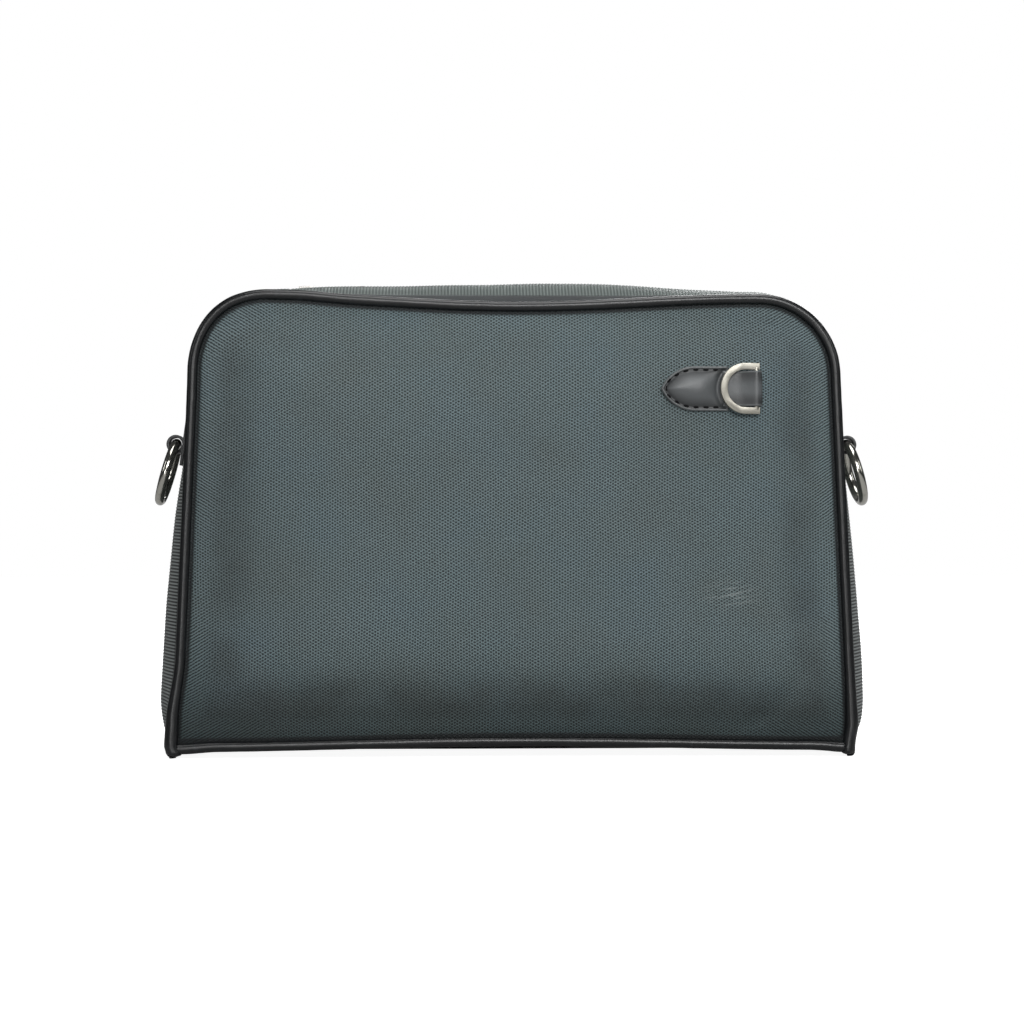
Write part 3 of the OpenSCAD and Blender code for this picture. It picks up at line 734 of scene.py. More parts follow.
def creases(x, z, seed):
    """The handling marks in a panel: a dent inside the seams, an arc low down, and slow waves."""
    d = edge_distance(x, z)
    calm = smooth(d, 0, 18)
    # The filling rolls under at the bottom, and the cloth is drawn in hard beside the piping
    full = FULL_OUT * bell(z, FULL_Z, 17) * calm
    valley = VALLEY_DEEP * bell(d, 2.6, 1.0)
    patchy = 0.5 + 0.5 * wobble(x, z, 40, seed)
    where = np.maximum(bell(z, 20, 45), 0.8 * smooth(np.abs(x), 90, 125))
    dent = SHOULDER_DEEP * patchy * where * bell(d, SHOULDER_AT, SHOULDER_WIDE)
    # The arc-shaped crease is on the front alone
    arc = np.hypot(x - CREASE_X, z - CREASE_Z)
    turn = np.degrees(np.arctan2(z - CREASE_Z, x - CREASE_X))
    fade = smooth(turn, -95, -65) * (1 - smooth(turn, -30, -5))
    fold = CREASE_DEEP * fade * bell(arc, CREASE_R, 2.6) * (seed == FRONT_SEED)
    waves = 0.6 * calm * wobble(x, z, 42, seed + 3) + 0.2 * calm * wobble(x, z, 16, seed + 7)
    # Small gathers where the cloth turns round the top corners
    gather = smooth(z, 158, 172) * smooth(np.abs(x), 98, 108) * bell(d, 5, 4)
    around = np.arctan2(z - CORNER_Z, np.abs(x) - CORNER_X)
    gathers = 0.25 * gather * np.sin(26 * around + 2 * wobble(x, z, 12, seed))
    return waves + full + gathers - valley - dent - fold


def panel_grid(rows, columns, inset):
    """[x, z] points over a panel, with its edge drawn in to a share of the outline."""
    turns = max(6, columns // 9)
    corner = CORNER_X + CORNER_R * np.sin(np.linspace(0, math.pi / 2, turns + 1))[1:]
    flat = np.linspace(-CORNER_X, CORNER_X, columns - 2 * turns)
    x0 = np.concatenate([-corner[::-1], flat, corner])
    wide = CORNER_X + CORNER_R
    drop = np.sqrt(np.maximum(CORNER_R**2 - (np.abs(x0) - CORNER_X) ** 2, 0))
    high = np.where(np.abs(x0) <= CORNER_X, top_z(x0), CORNER_Z + drop)
    low = bottom_z(x0 * BASE_HALF_W / wide)
    v = np.linspace(0, 1, rows)[:, None]
    z = low + (high - low) * v
    half = side_x(np.minimum(z, CORNER_Z))
    return inset * (x0 / wide * half), PANEL_MIDDLE[1] + inset * (z - PANEL_MIDDLE[1])


def face_point(x, z, out, way):
    """Points out from the front plane (way -1) or the back plane (way 1)."""
    return xyz(x, way * (face_y(z) + out), z)


def panel_layer(name, node, slot, way, seed, outer, thickness, inset, rows, columns):
    """One layer of a filled panel: its outer face lies outer from the panel's middle surface."""
    x, z = panel_grid(rows, columns, inset)
    out = dome(x, z) + creases(x, z, seed) + outer
    outside, inside = (face_point(x, z, o, way) for o in (out, out - thickness))
    return sheet_piece(name, outside, inside, slot, node, cloth=on_cloth(x, z), edge=edge_distance(x, z))


def build_panels():
    for side, way, seed in (("front", -1, FRONT_SEED), ("back", 1, BACK_SEED)):
        cloth = panel_layer(
            f"cloth_{side}", f"{side}_panel", "woven_nylon", way, seed,
            outer=CLOTH_T / 2, thickness=CLOTH_T, inset=0.988, rows=90, columns=132,
        )
        foam = panel_layer(
            f"stiffener_{side}", f"foam_{side}", "foam", way, seed,
            outer=FOAM_OUT, thickness=FOAM_T, inset=0.965, rows=30, columns=44,
        )
        lining = panel_layer(
            f"lining_sheet_{side}", f"lining_{side}", "lining_fabric", way, seed,
            outer=LINING_OUT, thickness=LINING_T, inset=0.955, rows=60, columns=88,
        )


# ---- Piping ----
PIPE_SIDES = 24
FOOT_SWELL = 0.40
FOOT_REACH = 24.0
FOOT_Z = 0.9
FOOT_HIGH = 2.4


def piping_profile(lip_turn, feet=False, seed=0.0):
    """A round cord in leather with the ridge of its seam at lip_turn, in degrees from across. Its feet
    are swollen and rounded, where the leather is folded over its ends."""
    def at(k, s):
        turn = 360 * k / PIPE_SIDES
        off = abs((turn - lip_turn + 180) % 360 - 180)
        lip = 0.42 * math.exp(-((off / 11) ** 2)) - 0.22 * math.exp(-(((off - 27) / 12) ** 2))
        puckers = np.array([noise.noise((float(a) / 5.0, turn / 90, seed)) for a in s])
        r = PIPING_R + lip + 0.07 * puckers
        if feet:
            end = np.minimum(s, s[-1] - s)
            r = r * (1 + FOOT_SWELL * np.exp(-((end / FOOT_REACH) ** 2)))
            r = r * np.sqrt(np.clip(1 - (1 - np.clip(end / 1.3, 0.05, 1)) ** 2, 0, 1))
        a = math.radians(turn)
        return np.stack([r * math.cos(a), r * math.sin(a)], 1)
    return at


def plane_path(points, way):
    x, z = points.T
    return xyz(x, way * face_y(z), z)


def cord(name, node, path, up, profile):
    """A length of piping, which nowhere goes below the floor."""
    piece = sweep(name, path, PIPE_SIDES, profile, up)
    for vertex in piece.data.vertices:
        vertex.co.z = max(vertex.co.z, 0.0)
    dress(piece, "piping_leather", node)


def build_piping():
    low = np.linspace(0, 1, 7)[:-1] ** 1.5 * FOOT_HIGH + FOOT_Z
    arch = arch_path(FOOT_Z + FOOT_HIGH, 1.6)
    foot = np.stack([side_x(low), low], 1)
    arch = np.concatenate([foot, arch, (foot * [-1, 1])[::-1]])
    half = side_x(BASE_Z) - 1
    x = np.linspace(half, -half, 150)
    base = np.stack([x, bottom_z(x) - 0.9 * smooth(np.abs(x), 126, 143)], 1)
    for side, way in FACES:
        normal = np.array([0, way, FACE_SLOPE])
        lip = 215 if way < 0 else 145
        for part, points, profile in (
            ("", arch, piping_profile(lip, feet=True)),
            ("base_", base, piping_profile(lip, seed=3)),
        ):
            name, node = f"piping_{part}cord_{side}", f"piping_{part}{side}"
            cord(name, node, plane_path(points, way), normal, profile)


# The cord under each gusset bows out and its underside is pressed flat on the floor
RUNNER_BOW = 3.2
RUNNER_HALF_Y = HALF_DEPTH - 1.4
RUNNER_X = side_x(BASE_Z) + 1.2
RUNNER_ARC_R = (RUNNER_HALF_Y**2 + RUNNER_BOW**2) / 2 / RUNNER_BOW
RUNNER_MID_X = RUNNER_X + RUNNER_BOW - RUNNER_ARC_R
RUNNER_Z = PIPING_R - 0.15


def build_runners():
    reach = math.asin(RUNNER_HALF_Y / RUNNER_ARC_R)
    turn = np.linspace(-reach, reach, 60)
    for side, way in SIDES:
        x = way * (RUNNER_MID_X + RUNNER_ARC_R * np.cos(turn))
        path = xyz(x, RUNNER_ARC_R * np.sin(turn), RUNNER_Z)
        cord(f"runner_cord_{side}", f"piping_end_{side}", path, (0, 0, 1), piping_profile(250, seed=5))


# ---- Gussets ----
BULGE_FOOT = 5.0
BULGE_FOOT_Z = 25.0
BULGE_LOW = 10.0
BULGE_HIGH = 0.6
BULGE_POWER = 2.2
RIB_HIGH = 0.13


def gusset_bulge(z, way):
    """How far out of the outline the middle of a gusset stands."""
    top = crown_look(way * MOUTH_HALF) - CLOTH_T / 2 - top_z(MOUTH_HALF)
    near_floor = (z - ARCH_Z) / (BULGE_FOOT_Z - ARCH_Z)
    foot = BULGE_FOOT + (BULGE_LOW - BULGE_FOOT) * np.sin(np.pi / 2 * near_floor)
    up = np.clip((z - BULGE_FOOT_Z) / (CORNER_Z - BULGE_FOOT_Z), 0, 1)
    side = BULGE_HIGH + (BULGE_LOW - BULGE_HIGH) * np.cos(np.pi / 2 * up)
    over = BULGE_HIGH + (top - BULGE_HIGH) * np.clip((z - CORNER_Z) / (PANEL_TOP - CORNER_Z), 0, 1) ** 3
    return np.where(z < BULGE_FOOT_Z, foot, np.where(z < CORNER_Z, side, over))


def gusset_groove(x, z, y):
    """The hollow that runs on from the mouth's end, over the corner."""
    fade = np.clip((127 - x) / 13, 0, 1)
    return np.where(z < CORNER_Z, 0, 3.0 * fade * (1 - np.minimum(1, np.abs(y) / 10) ** 3))


def mouth_end(y, way):
    """How far the strips and their seams stand over the top outline, at the ends of the mouth."""
    section = strip_section(way * MOUTH_HALF, 40)
    section = section[np.argsort(section[:, 0])]
    low = section[0, 1]
    ys = np.concatenate([[0, section[0, 0] - 0.4], section[:, 0], [26.6, 28.0]])
    zs = np.concatenate([[low - 0.2, low - 0.1], section[:, 1], [HINGE_Z - 0.1, HINGE_Z - 1.4]])
    return np.interp(np.abs(y), ys, zs) - top_z(MOUTH_HALF) - CLOTH_T / 2


def gusset_path(low, step):
    """The right gusset's way from its foot to the mouth, as [x, z] points and their lengths."""
    arch = arch_path(low, 0.5)
    arch = arch[: len(arch) // 2]
    arch = arch[arch[:, 0] > MOUTH_HALF]
    arch = np.concatenate([arch, [[MOUTH_HALF, float(top_z(MOUTH_HALF))]]])
    end = lengths(arch)[-1]
    even = np.linspace(0, end, round(end / step))
    return along(arch, even), even


def gusset_piece(name, node, slot, way, seed, low, step, outer, thickness, wide, across, ribs):
    """A layer of a gusset from low up to the mouth, wide being its share of the bag's depth."""
    path, s = gusset_path(low, step)
    t = tangents(path)
    n = np.stack([t[:, 1], -t[:, 0]], 1)
    v = np.linspace(-wide, wide, across)[None, :]
    x, z = path[:, :1], path[:, 1:]
    y = v * face_y(z)
    soft = 0.55 * (1 - np.abs(v) ** 4) * wobble(s[:, None], y, 30, seed)
    out = gusset_bulge(z, way) * (1 - np.abs(v) ** BULGE_POWER) - gusset_groove(x, z, y)
    join = (1 - smooth(x, MOUTH_HALF, MOUTH_HALF + 14)) * (z > CORNER_Z)
    out = out * (1 - join) + mouth_end(y, way) * join
    out = out + soft * (1 - join) + outer
    rib = RIB_HIGH * ribs * np.cos(2 * np.pi * s / RIB_PITCH)[:, None]
    rib = rib * (1 - smooth(np.abs(v), 0.93, 0.985))

    def grid(o):
        return xyz(way * (x + n[:, :1] * o), y, z + n[:, 1:] * o)

    cloth, edge = on_cloth(s[:, None], y), (1 - np.abs(v)) * face_y(z)
    piece = sheet_piece(name, grid(out + rib), grid(out - thickness), slot, node, cloth=cloth, edge=edge)
    return piece, s[-1]


def build_gussets():
    for side, way, seed in (("left", -1, 2.5), ("right", 1, 8.5)):
        gusset_piece(
            f"gusset_cloth_{side}", f"gusset_{side}", "ribbed_nylon", way, seed,
            low=4.4, step=RIB_PITCH / 4, outer=CLOTH_T / 2, thickness=CLOTH_T,
            wide=0.985, across=27, ribs=1,
        )
        lining, long = gusset_piece(
            f"gusset_lining_{side}", f"lining_{side}", "lining_fabric", way, seed,
            low=9.0, step=3.0, outer=-CLOTH_T / 2 - 4 * LAYER_GAP, thickness=LINING_T,
            wide=0.87, across=15, ribs=0,
        )


# ---- The mouth: strips, seam bindings, tapes and coils ----
def curve_through(points, count):
    """A smooth curve through [y, z] points, evenly spaced, by Catmull-Rom spans."""
    p = np.asarray(points, float)
    p = np.concatenate([[2 * p[0] - p[1]], p, [2 * p[-1] - p[-2]]])
    fine = []
    for a, b, c, d in zip(p, p[1:], p[2:], p[3:]):
        for t in np.linspace(0, 1, 12, endpoint=False):
            square, cube = 2 * a - 5 * b + 4 * c - d, 3 * b - a - 3 * c + d
            fine.append(0.5 * (2 * b + (c - a) * t + square * t**2 + cube * t**3))
    fine.append(p[-2])
    fine = np.array(fine)
    return along(fine, np.linspace(0, lengths(fine)[-1], count))


def strip_section(x, count):
    """Half of the zip strip at x, as [y, z] points from its seam to its folded edge by the zip."""
    c = crown_look(x)
    return curve_through(
        [
            [HINGE_Y - MOUTH_GAP / 2, HINGE_Z],
            [17.5, HINGE_Z + 0.54 * (c - HINGE_Z)],
            [13, c - 0.8],
            [10, c],
            [7.7, c - 0.6],
            [6.35, crown_at(x) - TAPE_DROP + 0.9],
        ],
        count,
    )


# The last of the zip at each end is sewn down, and the slider stands on it
STILL_FROM = 84.0
FREE_FROM = 8.0


def halves(part, slot, node):
    """Each half of the front and the back of a part of the mouth, with a function that dresses it."""
    for side, way in FACES:
        for end, sign in SIDES:

            def join(piece):
                dress(piece, slot, f"{node}_{side}" if sign < 0 else None)
                start, stop = ((sign * x * MM, 0, HINGE_Z * MM) for x in (STILL_FROM, FREE_FROM))
                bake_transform(piece)
                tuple(start)
                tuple(stop)

            yield f"{part}_{side}_{end}", way, sign, join


def build_strips():
    across = 26
    for name, way, sign, join in halves("strip_cloth", "ribbed_nylon", "zip_strip"):
        count = round((MOUTH_HALF - MOUTH_GAP) / (RIB_PITCH / 4)) + 1
        xs = np.linspace(0, sign * (MOUTH_HALF - MOUTH_GAP), count)
        sections = np.array([strip_section(x, across) for x in xs])
        t = np.gradient(sections, axis=1)
        t /= np.linalg.norm(t, axis=2, keepdims=True)
        normal = np.stack([t[..., 1], -t[..., 0]], -1)
        normal *= np.sign(normal[:, across // 2, 1])[:, None, None]
        part = np.linspace(0, 1, across)[None, :]
        calm = smooth(part, 0.0, 0.12) * (1 - smooth(part, 0.8, 0.95))
        rib = RIB_HIGH * calm * np.cos(2 * np.pi * xs / RIB_PITCH)[:, None]
        soft = 0.35 * calm * wobble(xs[:, None], part * 20, 24, 4.5 + way)
        top = sections + normal * (rib + soft)[..., None]
        low = sections + normal * (soft - CLOTH_T)[..., None]

        def place(grid):
            return xyz(xs[:, None], way * grid[..., 0], grid[..., 1])

        points, faces = slab(place(top), place(low))
        cloth = on_cloth(xs[:, None], part * 20)
        edge = 4 + 20 * np.minimum(part, 1 - part) + 0 * xs[:, None]
        join(make(name, points, faces, {"cloth": twice(cloth), "edge": twice(edge)}, body=None))


def build_bindings():
    """The sewn edge that joins the strip to the top piping, a rolled band of dark tape."""
    x = np.linspace(-MOUTH_HALF, MOUTH_HALF, 180)[:, None]
    part = np.linspace(0, 1, 9)[None, :]
    y = (face_y(top_z(x)) - 1.4) * (1 - part) + (HINGE_Y + MOUTH_GAP) * part
    z = (top_z(x) + 1.4) * (1 - part) + HINGE_Z * part
    for side, way in FACES:
        roll = 0.7 * np.sin(np.pi * part) + 0.12 * wobble(x, part * 5, 9, 6.5 + way)
        outer, inner = (xyz(x, way * y, top) for top in (z + roll, z - CLOTH_T))
        cloth = on_cloth(x, part * 6)
        sheet_piece(f"binding_tape_{side}", outer, inner, "binding_tape", f"seam_binding_{side}", cloth=cloth)


def build_tapes():
    half_t, far, near = 0.25, 12.4, COIL_HALF_W + 0.05
    for name, way, sign, join in halves("tape", "zip_tape", "zip_tape"):
        x = np.linspace(0, sign * (MOUTH_HALF - MOUTH_GAP), 66)[:, None]
        part = np.linspace(0, 1, 9)[None, :]
        y = far + (near - far) * part
        z = crown_at(x) - TAPE_DROP + 0.12 * np.sin(7 * part) * np.sin(x / 9)
        points, faces = slab(*(xyz(x, way * y, z + t) for t in (half_t, -half_t)))
        join(make(name, points, faces, {"cloth": twice(on_cloth(x, y))}, body=None))


COIL_PITCH = 1.5
COIL_WIRE = 0.36


def build_coils():
    """Each side's coil is one long helix, set half a pitch from the other side's so that they mesh."""
    for name, way, sign, join in halves("coil", "zip_coil", "zip_coil"):
        turns = int((COIL_END - 0.6) / COIL_PITCH)
        t = np.linspace(0, turns, turns * 12 + 1)
        shift = 0 if way < 0 else COIL_PITCH / 2
        x = sign * (0.2 + t * COIL_PITCH) + shift
        a = 2 * np.pi * t
        y = 1.25 - 1.05 * np.cos(a)
        z = crown_at(x) - TAPE_DROP + 0.62 * np.sin(a)
        path = xyz(x, way * y, z)
        join(sweep(name, path, 6, ring_profile(COIL_WIRE, 6), (1, 0.01, 0), body=None))


# ---- Base, pocket and the lining on the floor ----
def base_outline(x, inset):
    """Half the depth of the base at x, drawn in by inset."""
    bow = RUNNER_ARC_R - inset
    reach = np.sqrt(np.maximum(bow**2 - (np.abs(x) - RUNNER_MID_X) ** 2, 0))
    return np.minimum(HALF_DEPTH - inset, reach)


def plate(name, node, slot, low, thickness, inset, puff, seed):
    """A flat layer of the base, from low up, with rounded edges and puff millimetres of slack."""
    end = RUNNER_MID_X + RUNNER_ARC_R - inset - 0.02
    u, v = crowded(120).T, crowded(30)
    x = u * end
    y = v * base_outline(x, inset)
    near_edge = np.maximum(np.abs(u), np.abs(v)) ** 24
    round_edge = thickness / 2 * (1 - np.sqrt(np.clip(1 - near_edge, 0, 1)))
    lift = puff * wobble(x, y, 26, seed)
    outer = xyz(x, y, low + lift + round_edge)
    inner = xyz(x, y, low + thickness + lift - round_edge)
    return sheet_piece(name, outer, inner, slot, node, cloth=on_cloth(x, y), edge=10 + 0 * y)


def build_base():
    plate("base_leather_sheet", "base_panel", "base_leather", 3.4, CLOTH_T, 1.6, 0.05, 1.0)
    plate("base_stiff_board", "base_board", "board", 4.7, 2.0, 4.5, 0.0, 2.0)
    floor = plate("base_lining_sheet", "base_lining", "lining_fabric", 6.9, LINING_T, 5.0, 0.12, 3.0)


POCKET_HALF_W = 80.0
POCKET_LOW = 62.0
POCKET_HIGH = 150.0
POCKET_OUT = 7.0
POCKET_DEPTH = 9.7
POCKET_T = 0.7
HEM_Z = POCKET_HIGH - 9


def build_pocket():
    """A slip pocket with a hemmed mouth: one sheet that folds round from the back lining and bows out."""
    bend = 1.6
    half = POCKET_HALF_W - 0.5
    flat = np.linspace(-half + bend, half - bend, 60)
    turn = np.linspace(0, math.pi / 2, 6)
    corner_x = half - bend + bend * np.sin(turn)
    corner_d = bend - bend * np.cos(turn)
    side_d = np.linspace(bend, POCKET_DEPTH - 1.0, 8)[1:]
    x = np.concatenate([np.full(7, -half), -corner_x[::-1], flat[1:-1], corner_x, np.full(7, half)])
    depth = np.concatenate([side_d[::-1], corner_d[::-1], 0 * flat[1:-1], corner_d, side_d])
    z = np.linspace(POCKET_LOW, POCKET_HIGH, 46)[:, None]
    in_front, in_side = depth < 1, depth > 1
    bow = 1.1 * np.cos(np.pi / 2 * np.clip(x / half, -1, 1)) * (0.25 + smooth(z, 80, POCKET_HIGH))
    bow = bow + 0.35 * wobble(x, z, 22, 5.0)
    hem = 0.45 * smooth(z, HEM_Z - 2.5, HEM_Z - 1.5)
    y = face_y(z) - POCKET_OUT + depth - bow * in_front
    outer = xyz(x, y - hem * in_front, z)
    inner = xyz(x - POCKET_T * np.sign(x) * in_side, y + POCKET_T * ~in_side, z)
    piece = sheet_piece("pocket_cloth", outer, inner, "lining_fabric", "inner_pocket", cloth=on_cloth(x, z))
    seam_y = face_y(HEM_Z) - POCKET_OUT - 2.0
    stitches = [((a, seam_y, HEM_Z), (1, 0, 0)) for a in np.arange(-74, 75, 3.4)]
    dress(stitch_row("pocket_stitches", stitches, 2.0, 0.22), "lining_fabric")


# ---- Stitches ----
def stitch_row(name, stitches, long, radius):
    """Short rounded lengths of thread, each given by its middle and its direction."""
    points, faces = [], []
    sides, rings = 8, 7
    for middle, way in stitches:
        way = np.asarray(way, float) / np.linalg.norm(way)
        side = np.cross(way, (0, 0, 1)) if abs(way[2]) < 0.9 else np.cross(way, (0, 1, 0))
        side /= np.linalg.norm(side)
        up = np.cross(side, way)
        first = len(points)
        for i in range(rings):
            t = -1 + 2 * i / (rings - 1)
            r = radius * math.sqrt(max(1 - abs(t) ** 3, 0.05))
            for k in range(sides):
                a = 2 * math.pi * k / sides
                off = side * math.cos(a) + up * math.sin(a)
                points.append(np.asarray(middle) + way * t * long / 2 + r * off)
        faces += grid_faces(rings, sides, first, wrap=True)
        faces += caps(len(points), sides, first)
    return make(name, points, faces, {"cloth": np.array(points) * MM})


# ---- Front tab and its D-ring ----
TAB_HINGE_X = 102.9
TAB_Z = 157.8
TAB_LEN = 41.0
TAB_W = 19.3
STRAP_W = 15.2
TAB_TIP_R = 16.0
TAB_T = 1.1
TAB_NECK = 12.0
STITCH_IN = 1.6
STITCH_PITCH = 4.3
STITCH_Z = 2 * TAB_T - 0.15
FOLD_Z = 2.5
FOLD_R = 1.95


def tab_frame():
    """The matrix that places the tab's own axes: x to the right, y up the panel, z out of it."""
    bar = next(j for j in frame["joints"] if j["name"] == "d_ring_flip")
    x = np.array([TAB_HINGE_X, TAB_HINGE_X - TAB_LEN])
    d = CLOTH_T / 2 + dome(x, np.array([TAB_Z, TAB_Z]))
    yaw = math.atan((d[1] - d[0]) / TAB_LEN)
    turn = Matrix.Rotation(math.pi / 2 - FACE_LEAN, 4, "X") @ Matrix.Rotation(yaw, 4, "Y")
    hinge = Vector(bar["pos_m"]) / MM
    return Matrix.Translation(hinge - turn @ Vector((0, 0, FOLD_Z))) @ turn


def rim_drop(d, wide, drop):
    """How far a rounded edge drops at a distance d in from it."""
    return drop * (1 - np.sqrt(np.clip(1 - (1 - np.clip(d / wide, 0, 1)) ** 2, 0, 1)))


def placed(matrix, points):
    m = np.array(matrix)
    p = np.asarray(points, float).reshape(-1, 3)
    return p @ m[:3, :3].T + m[:3, 3]


def tab_half_width(x):
    """Half the width of the tab's body at x: straight, then a point made of two arcs."""
    arc_x = math.sqrt(TAB_TIP_R**2 - (TAB_TIP_R - TAB_W / 2) ** 2)
    into = np.clip(-TAB_LEN + arc_x - x, 0, arc_x)
    return np.sqrt(TAB_TIP_R**2 - into**2) - (TAB_TIP_R - TAB_W / 2)


def build_tab():
    at = tab_frame()
    # Body: two layers, its rim pressed by the stitches and its middle padded
    t = np.linspace(0, 1, 64) ** 1.6
    x = (-TAB_LEN + 0.15 + (TAB_LEN - TAB_NECK) * t)[:, None]
    half = np.maximum(tab_half_width(x), 0.35)
    v = crowded(33)
    y = v * half
    slope = np.gradient(half[:, 0], x[:, 0])[:, None]
    d = (1 - np.abs(v)) * half / np.sqrt(1 + slope**2)
    d = np.minimum(d, x[-1] - x)
    groove = 0.42 * bell(d, STITCH_IN, 0.5)
    from_ring = np.hypot(x + 4.9, y)
    across = np.sin(np.pi / 2 * np.clip((d - STITCH_IN) / 8, 0, 1))
    pad = 1.7 * across * np.sin(np.pi / 2 * np.clip((from_ring - 12.4) / 8, 0, 1))
    channel = 0.9 * bell(from_ring, 11.9, 0.9) * smooth(d, 0.6, 1.8)
    high = 2 * TAB_T + 0.12 - rim_drop(d, 0.8, 0.7) - groove + pad - channel
    points, faces = slab(xyz(x, y, high), xyz(x, y, -0.1))
    body = make("tab_body", placed(at, points), faces, {"edge": np.concatenate([d.ravel(), 0 * d.ravel()])})
    dress(body, "tab_leather", "ring_tab")

    # Strap: over the body's end, round the D-ring's bar and back under
    turn = np.radians(np.linspace(112, -90, 26))
    over = np.stack([FOLD_R * np.cos(turn), FOLD_Z + FOLD_R * np.sin(turn)], 1)
    rise = curve_through([[-14.4, 1.75], [-10.5, 1.82], [-6.6, 2.2], over[0]], 30)
    under = np.stack([np.linspace(-0.6, -17, 12), np.full(12, FOLD_Z - FOLD_R)], 1)
    line = np.concatenate([rise[:-1], over, under])
    n = tangents(line)
    n = np.stack([-n[:, 1], n[:, 0]], 1)
    s = lengths(line)
    v = crowded(21)
    d = (1 - np.abs(v)) * STRAP_W / 2 + 0 * s[:, None]
    rim = rim_drop(d, 0.45, 0.28)
    crown = 0.12 * smooth(d, 0.5, 4)

    def strap_grid(o):
        x, z = (line[:, i : i + 1] + n[:, i : i + 1] * o for i in (0, 1))
        return xyz(x, v * STRAP_W / 2, z)

    points, faces = slab(strap_grid(TAB_T / 2 - rim + crown), strap_grid(-TAB_T / 2 + rim))
    dress(make("tab_strap", placed(at, points), faces, {"edge": twice(0.9 * d + 0.2)}), "tab_leather")

    # Stitches: round the body, and a pair across the strap
    outline = np.linspace(-TAB_LEN + 1.9, -TAB_NECK - 4.5, 400)
    line = np.stack([outline, np.maximum(tab_half_width(outline) - STITCH_IN, 0.4)], 1)
    stitches = []
    for where in np.arange(2.2, lengths(line)[-1], STITCH_PITCH):
        p, q = along(line, [where, where + 0.5])
        for way in (1, -1):
            stitches.append(((p[0], way * p[1], STITCH_Z), (q[0] - p[0], way * (q[1] - p[1]), 0)))
    stitches.append(((-TAB_LEN + 2.4, 0, STITCH_Z), (0.05, 1, 0)))
    stitches += [((-12.7, y, 2.42), (0, 1, 0)) for y in (-2.0, 2.0)]
    turned = [(placed(at, [m])[0], np.array(at)[:3, :3] @ np.array(w)) for m, w in stitches]
    row = stitch_row("tab_stitches", turned, 2.4, 0.52)
    row.data.materials.append(LOOKS["thread"])


# ---- Hardware ----
RING_R = 13.1
RING_WIRE_R = 2.1
RING_TILT = math.radians(16)


def build_rings():
    """The side rings: round wire."""
    for side, way in SIDES:
        node = f"ring_{side}"
        low, high = (np.array(v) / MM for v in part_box(node))
        middle = (low + high) / 2
        rings, sides = 128, 28
        a = np.linspace(0, 2 * np.pi, rings, endpoint=False)[:, None]
        b = np.linspace(0, 2 * np.pi, sides, endpoint=False)[None, :]
        r = RING_R + RING_WIRE_R * np.cos(b)
        local = xyz(RING_WIRE_R * np.sin(b), r * np.cos(a), r * np.sin(a)).reshape(-1, 3)
        turn = np.array(Matrix.Rotation(-way * RING_TILT, 3, "Y"))
        points = local @ turn.T + middle
        faces = grid_faces(rings, sides, wrap=True, ring=True)
        dress(make(f"wire_ring_{side}", points, faces, body=f"{side}_ring"), "ring_metal", node)


def build_hardware():
    build_rings()
    for node, name, width, slot in (
        ("d_ring", "flat_d_ring", 0.3, "d_ring_metal"),
        ("zip_slider", "slider_body", 0.22, "zip_metal"),
        ("zip_pull", "slider_pull", 0.3, "zip_metal"),
        ("zip_top_stops", "stops_top", 0.25, "zip_metal"),
        ("zip_bottom_stop", "stop_bottom", 0.3, "zip_metal"),
        ("side_tab_left", "loop_left", 0.3, "side_leather"),
        ("side_tab_right", "loop_right", 0.3, "side_leather"),
    ):
        softened(node, name, width, slot)


# ---- Floor, light and camera ----
def build_stage():
    """A white floor and a white room, which light the bag far less than they look to."""
    size = 3.0
    mesh = bpy.data.meshes.new("floor")
    corners = [(-size, -size, 0), (size, -size, 0), (size, size, 0), (-size, size, 0)]
    mesh.from_pydata(corners, [], [(0, 1, 2, 3)])
    floor = linked("floor", mesh)
    floor.location.z = -0.0002
    look = Look("floor")
    look.finish(Base_Color=(0.5, 0.5, 0.5), Roughness=0.9, Specular_IOR_Level=0.0)
    strength = look.range(look.reach(look.place()), 180, 600, 0.93, 1.0)
    glow = look.add("ShaderNodeEmission", {"Color": (1, 1, 1), "Strength": strength})
    soft = look.add("ShaderNodeAddShader")
    look.tree.links.new(glow.outputs[0], soft.inputs[0])
    look.tree.links.new(look.shader.outputs[0], soft.inputs[1])
    seen_or_lit(look.tree, look.shader.outputs[0], soft.outputs[0], look.tree.nodes["Material Output"])
    mesh.materials.append(look.material)

    world = bpy.data.worlds.new("studio")
    bpy.context.scene.world = world
    world.use_nodes = True
    lit = world.node_tree.nodes["Background"]
    lit.inputs["Color"].default_value = (0.94, 0.98, 1.0, 1)
    lit.inputs["Strength"].default_value = 0.07
    seen = world.node_tree.nodes.new("ShaderNodeBackground")
    seen.inputs["Color"].default_value = (1, 1, 1, 1)
    seen_or_lit(world.node_tree, lit.outputs[0], seen.outputs[0], world.node_tree.nodes["World Output"])


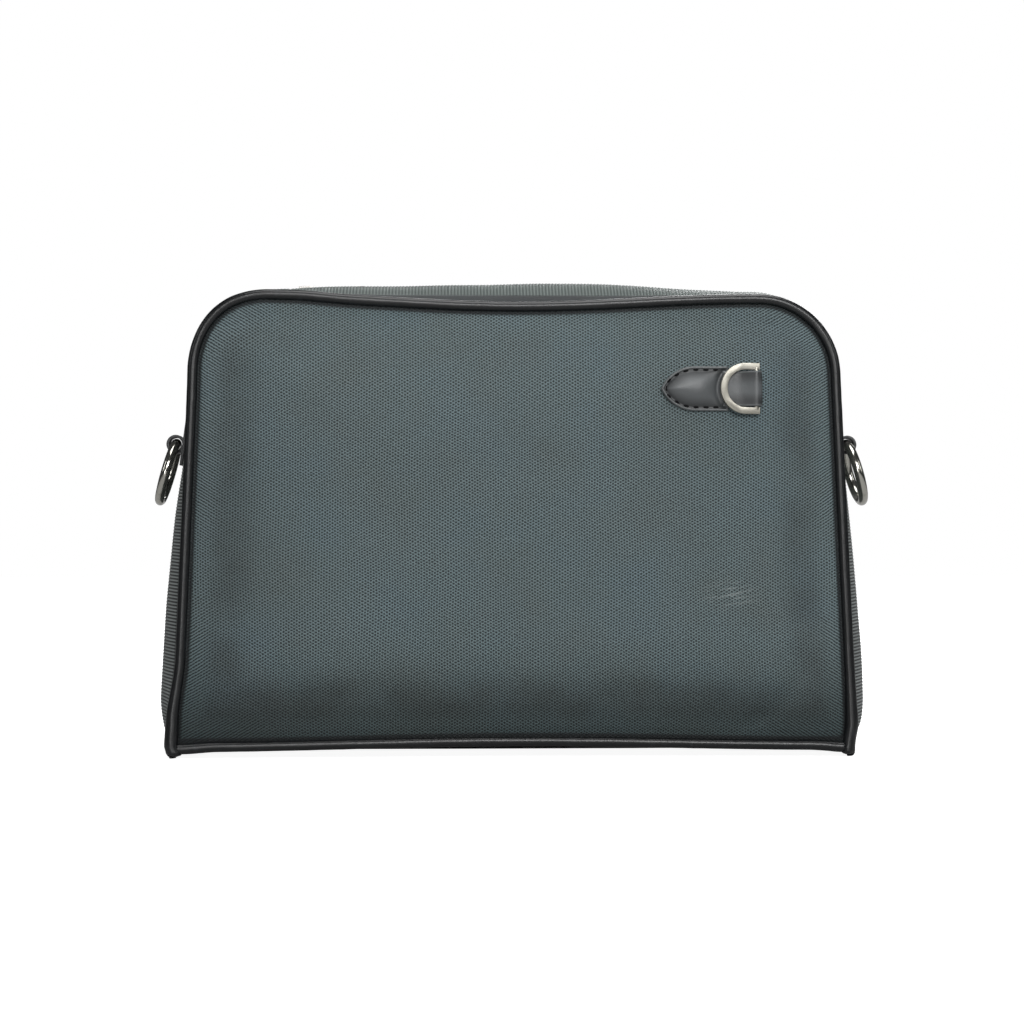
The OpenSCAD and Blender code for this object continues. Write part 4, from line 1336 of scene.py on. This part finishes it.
def seen_or_lit(tree, lit, seen, output):
    """Shows one shader to the camera and lights the object with the other."""
    path = tree.nodes.new("ShaderNodeLightPath")
    mix = tree.nodes.new("ShaderNodeMixShader")
    tree.links.new(path.outputs["Is Camera Ray"], mix.inputs[0])
    tree.links.new(lit, mix.inputs[1])
    tree.links.new(seen, mix.inputs[2])
    tree.links.new(mix.outputs[0], output.inputs["Surface"])


def build_lights():
    for name, place, aim_z, size, power in (
        ("key", (0.22, -1.5, 0.78), 0.12, (0.9, 0.55), 17.5),
        ("front", (-0.45, -1.5, 0.16), 0.1, (0.3, 0.4), 3),
        ("top", (0.1, -0.1, 1.2), 0.1, (0.9, 0.6), 8),
        ("behind", (0.4, 1.4, 0.8), 0.1, (0.9, 0.6), 14),
        ("left", (-1.3, -0.5, 0.75), 0.1, (0.2, 0.6), 1.6),
        ("right", (1.3, -0.5, 0.75), 0.1, (0.2, 0.6), 1.8),
    ):
        data = bpy.data.lights.new(name, "AREA")
        data.shape = "RECTANGLE"
        data.size, data.size_y = size
        data.energy = power
        light = linked(name, data)
        light.location = place
        light.rotation_euler = (Vector((0, 0, aim_z)) - Vector(place)).to_track_quat("-Z", "Y").to_euler()


CAMERA_AZIMUTH = math.radians(-2.3)
CAMERA_DISTANCE = 1.135
CAMERA_AIM = Vector((-0.0004, 0.0, 0.105))
CAMERA_LENS = 90.1


def build_camera():
    data = bpy.data.cameras.new("camera")
    data.lens = CAMERA_LENS
    camera = linked("camera", data)
    back = Vector((math.sin(CAMERA_AZIMUTH), -math.cos(CAMERA_AZIMUTH), 0))
    camera.location = CAMERA_AIM + back * CAMERA_DISTANCE
    camera.rotation_euler = (-back).to_track_quat("-Z", "Y").to_euler()
    bpy.context.scene.camera = camera
    bpy.context.scene.view_settings.view_transform = "Standard"


for build in (
    build_camera, build_stage, build_lights, build_panels, build_piping, build_runners, build_gussets,
    build_strips, build_bindings, build_tapes, build_coils, build_base, build_pocket, build_tab,
    build_hardware,
):
    build()
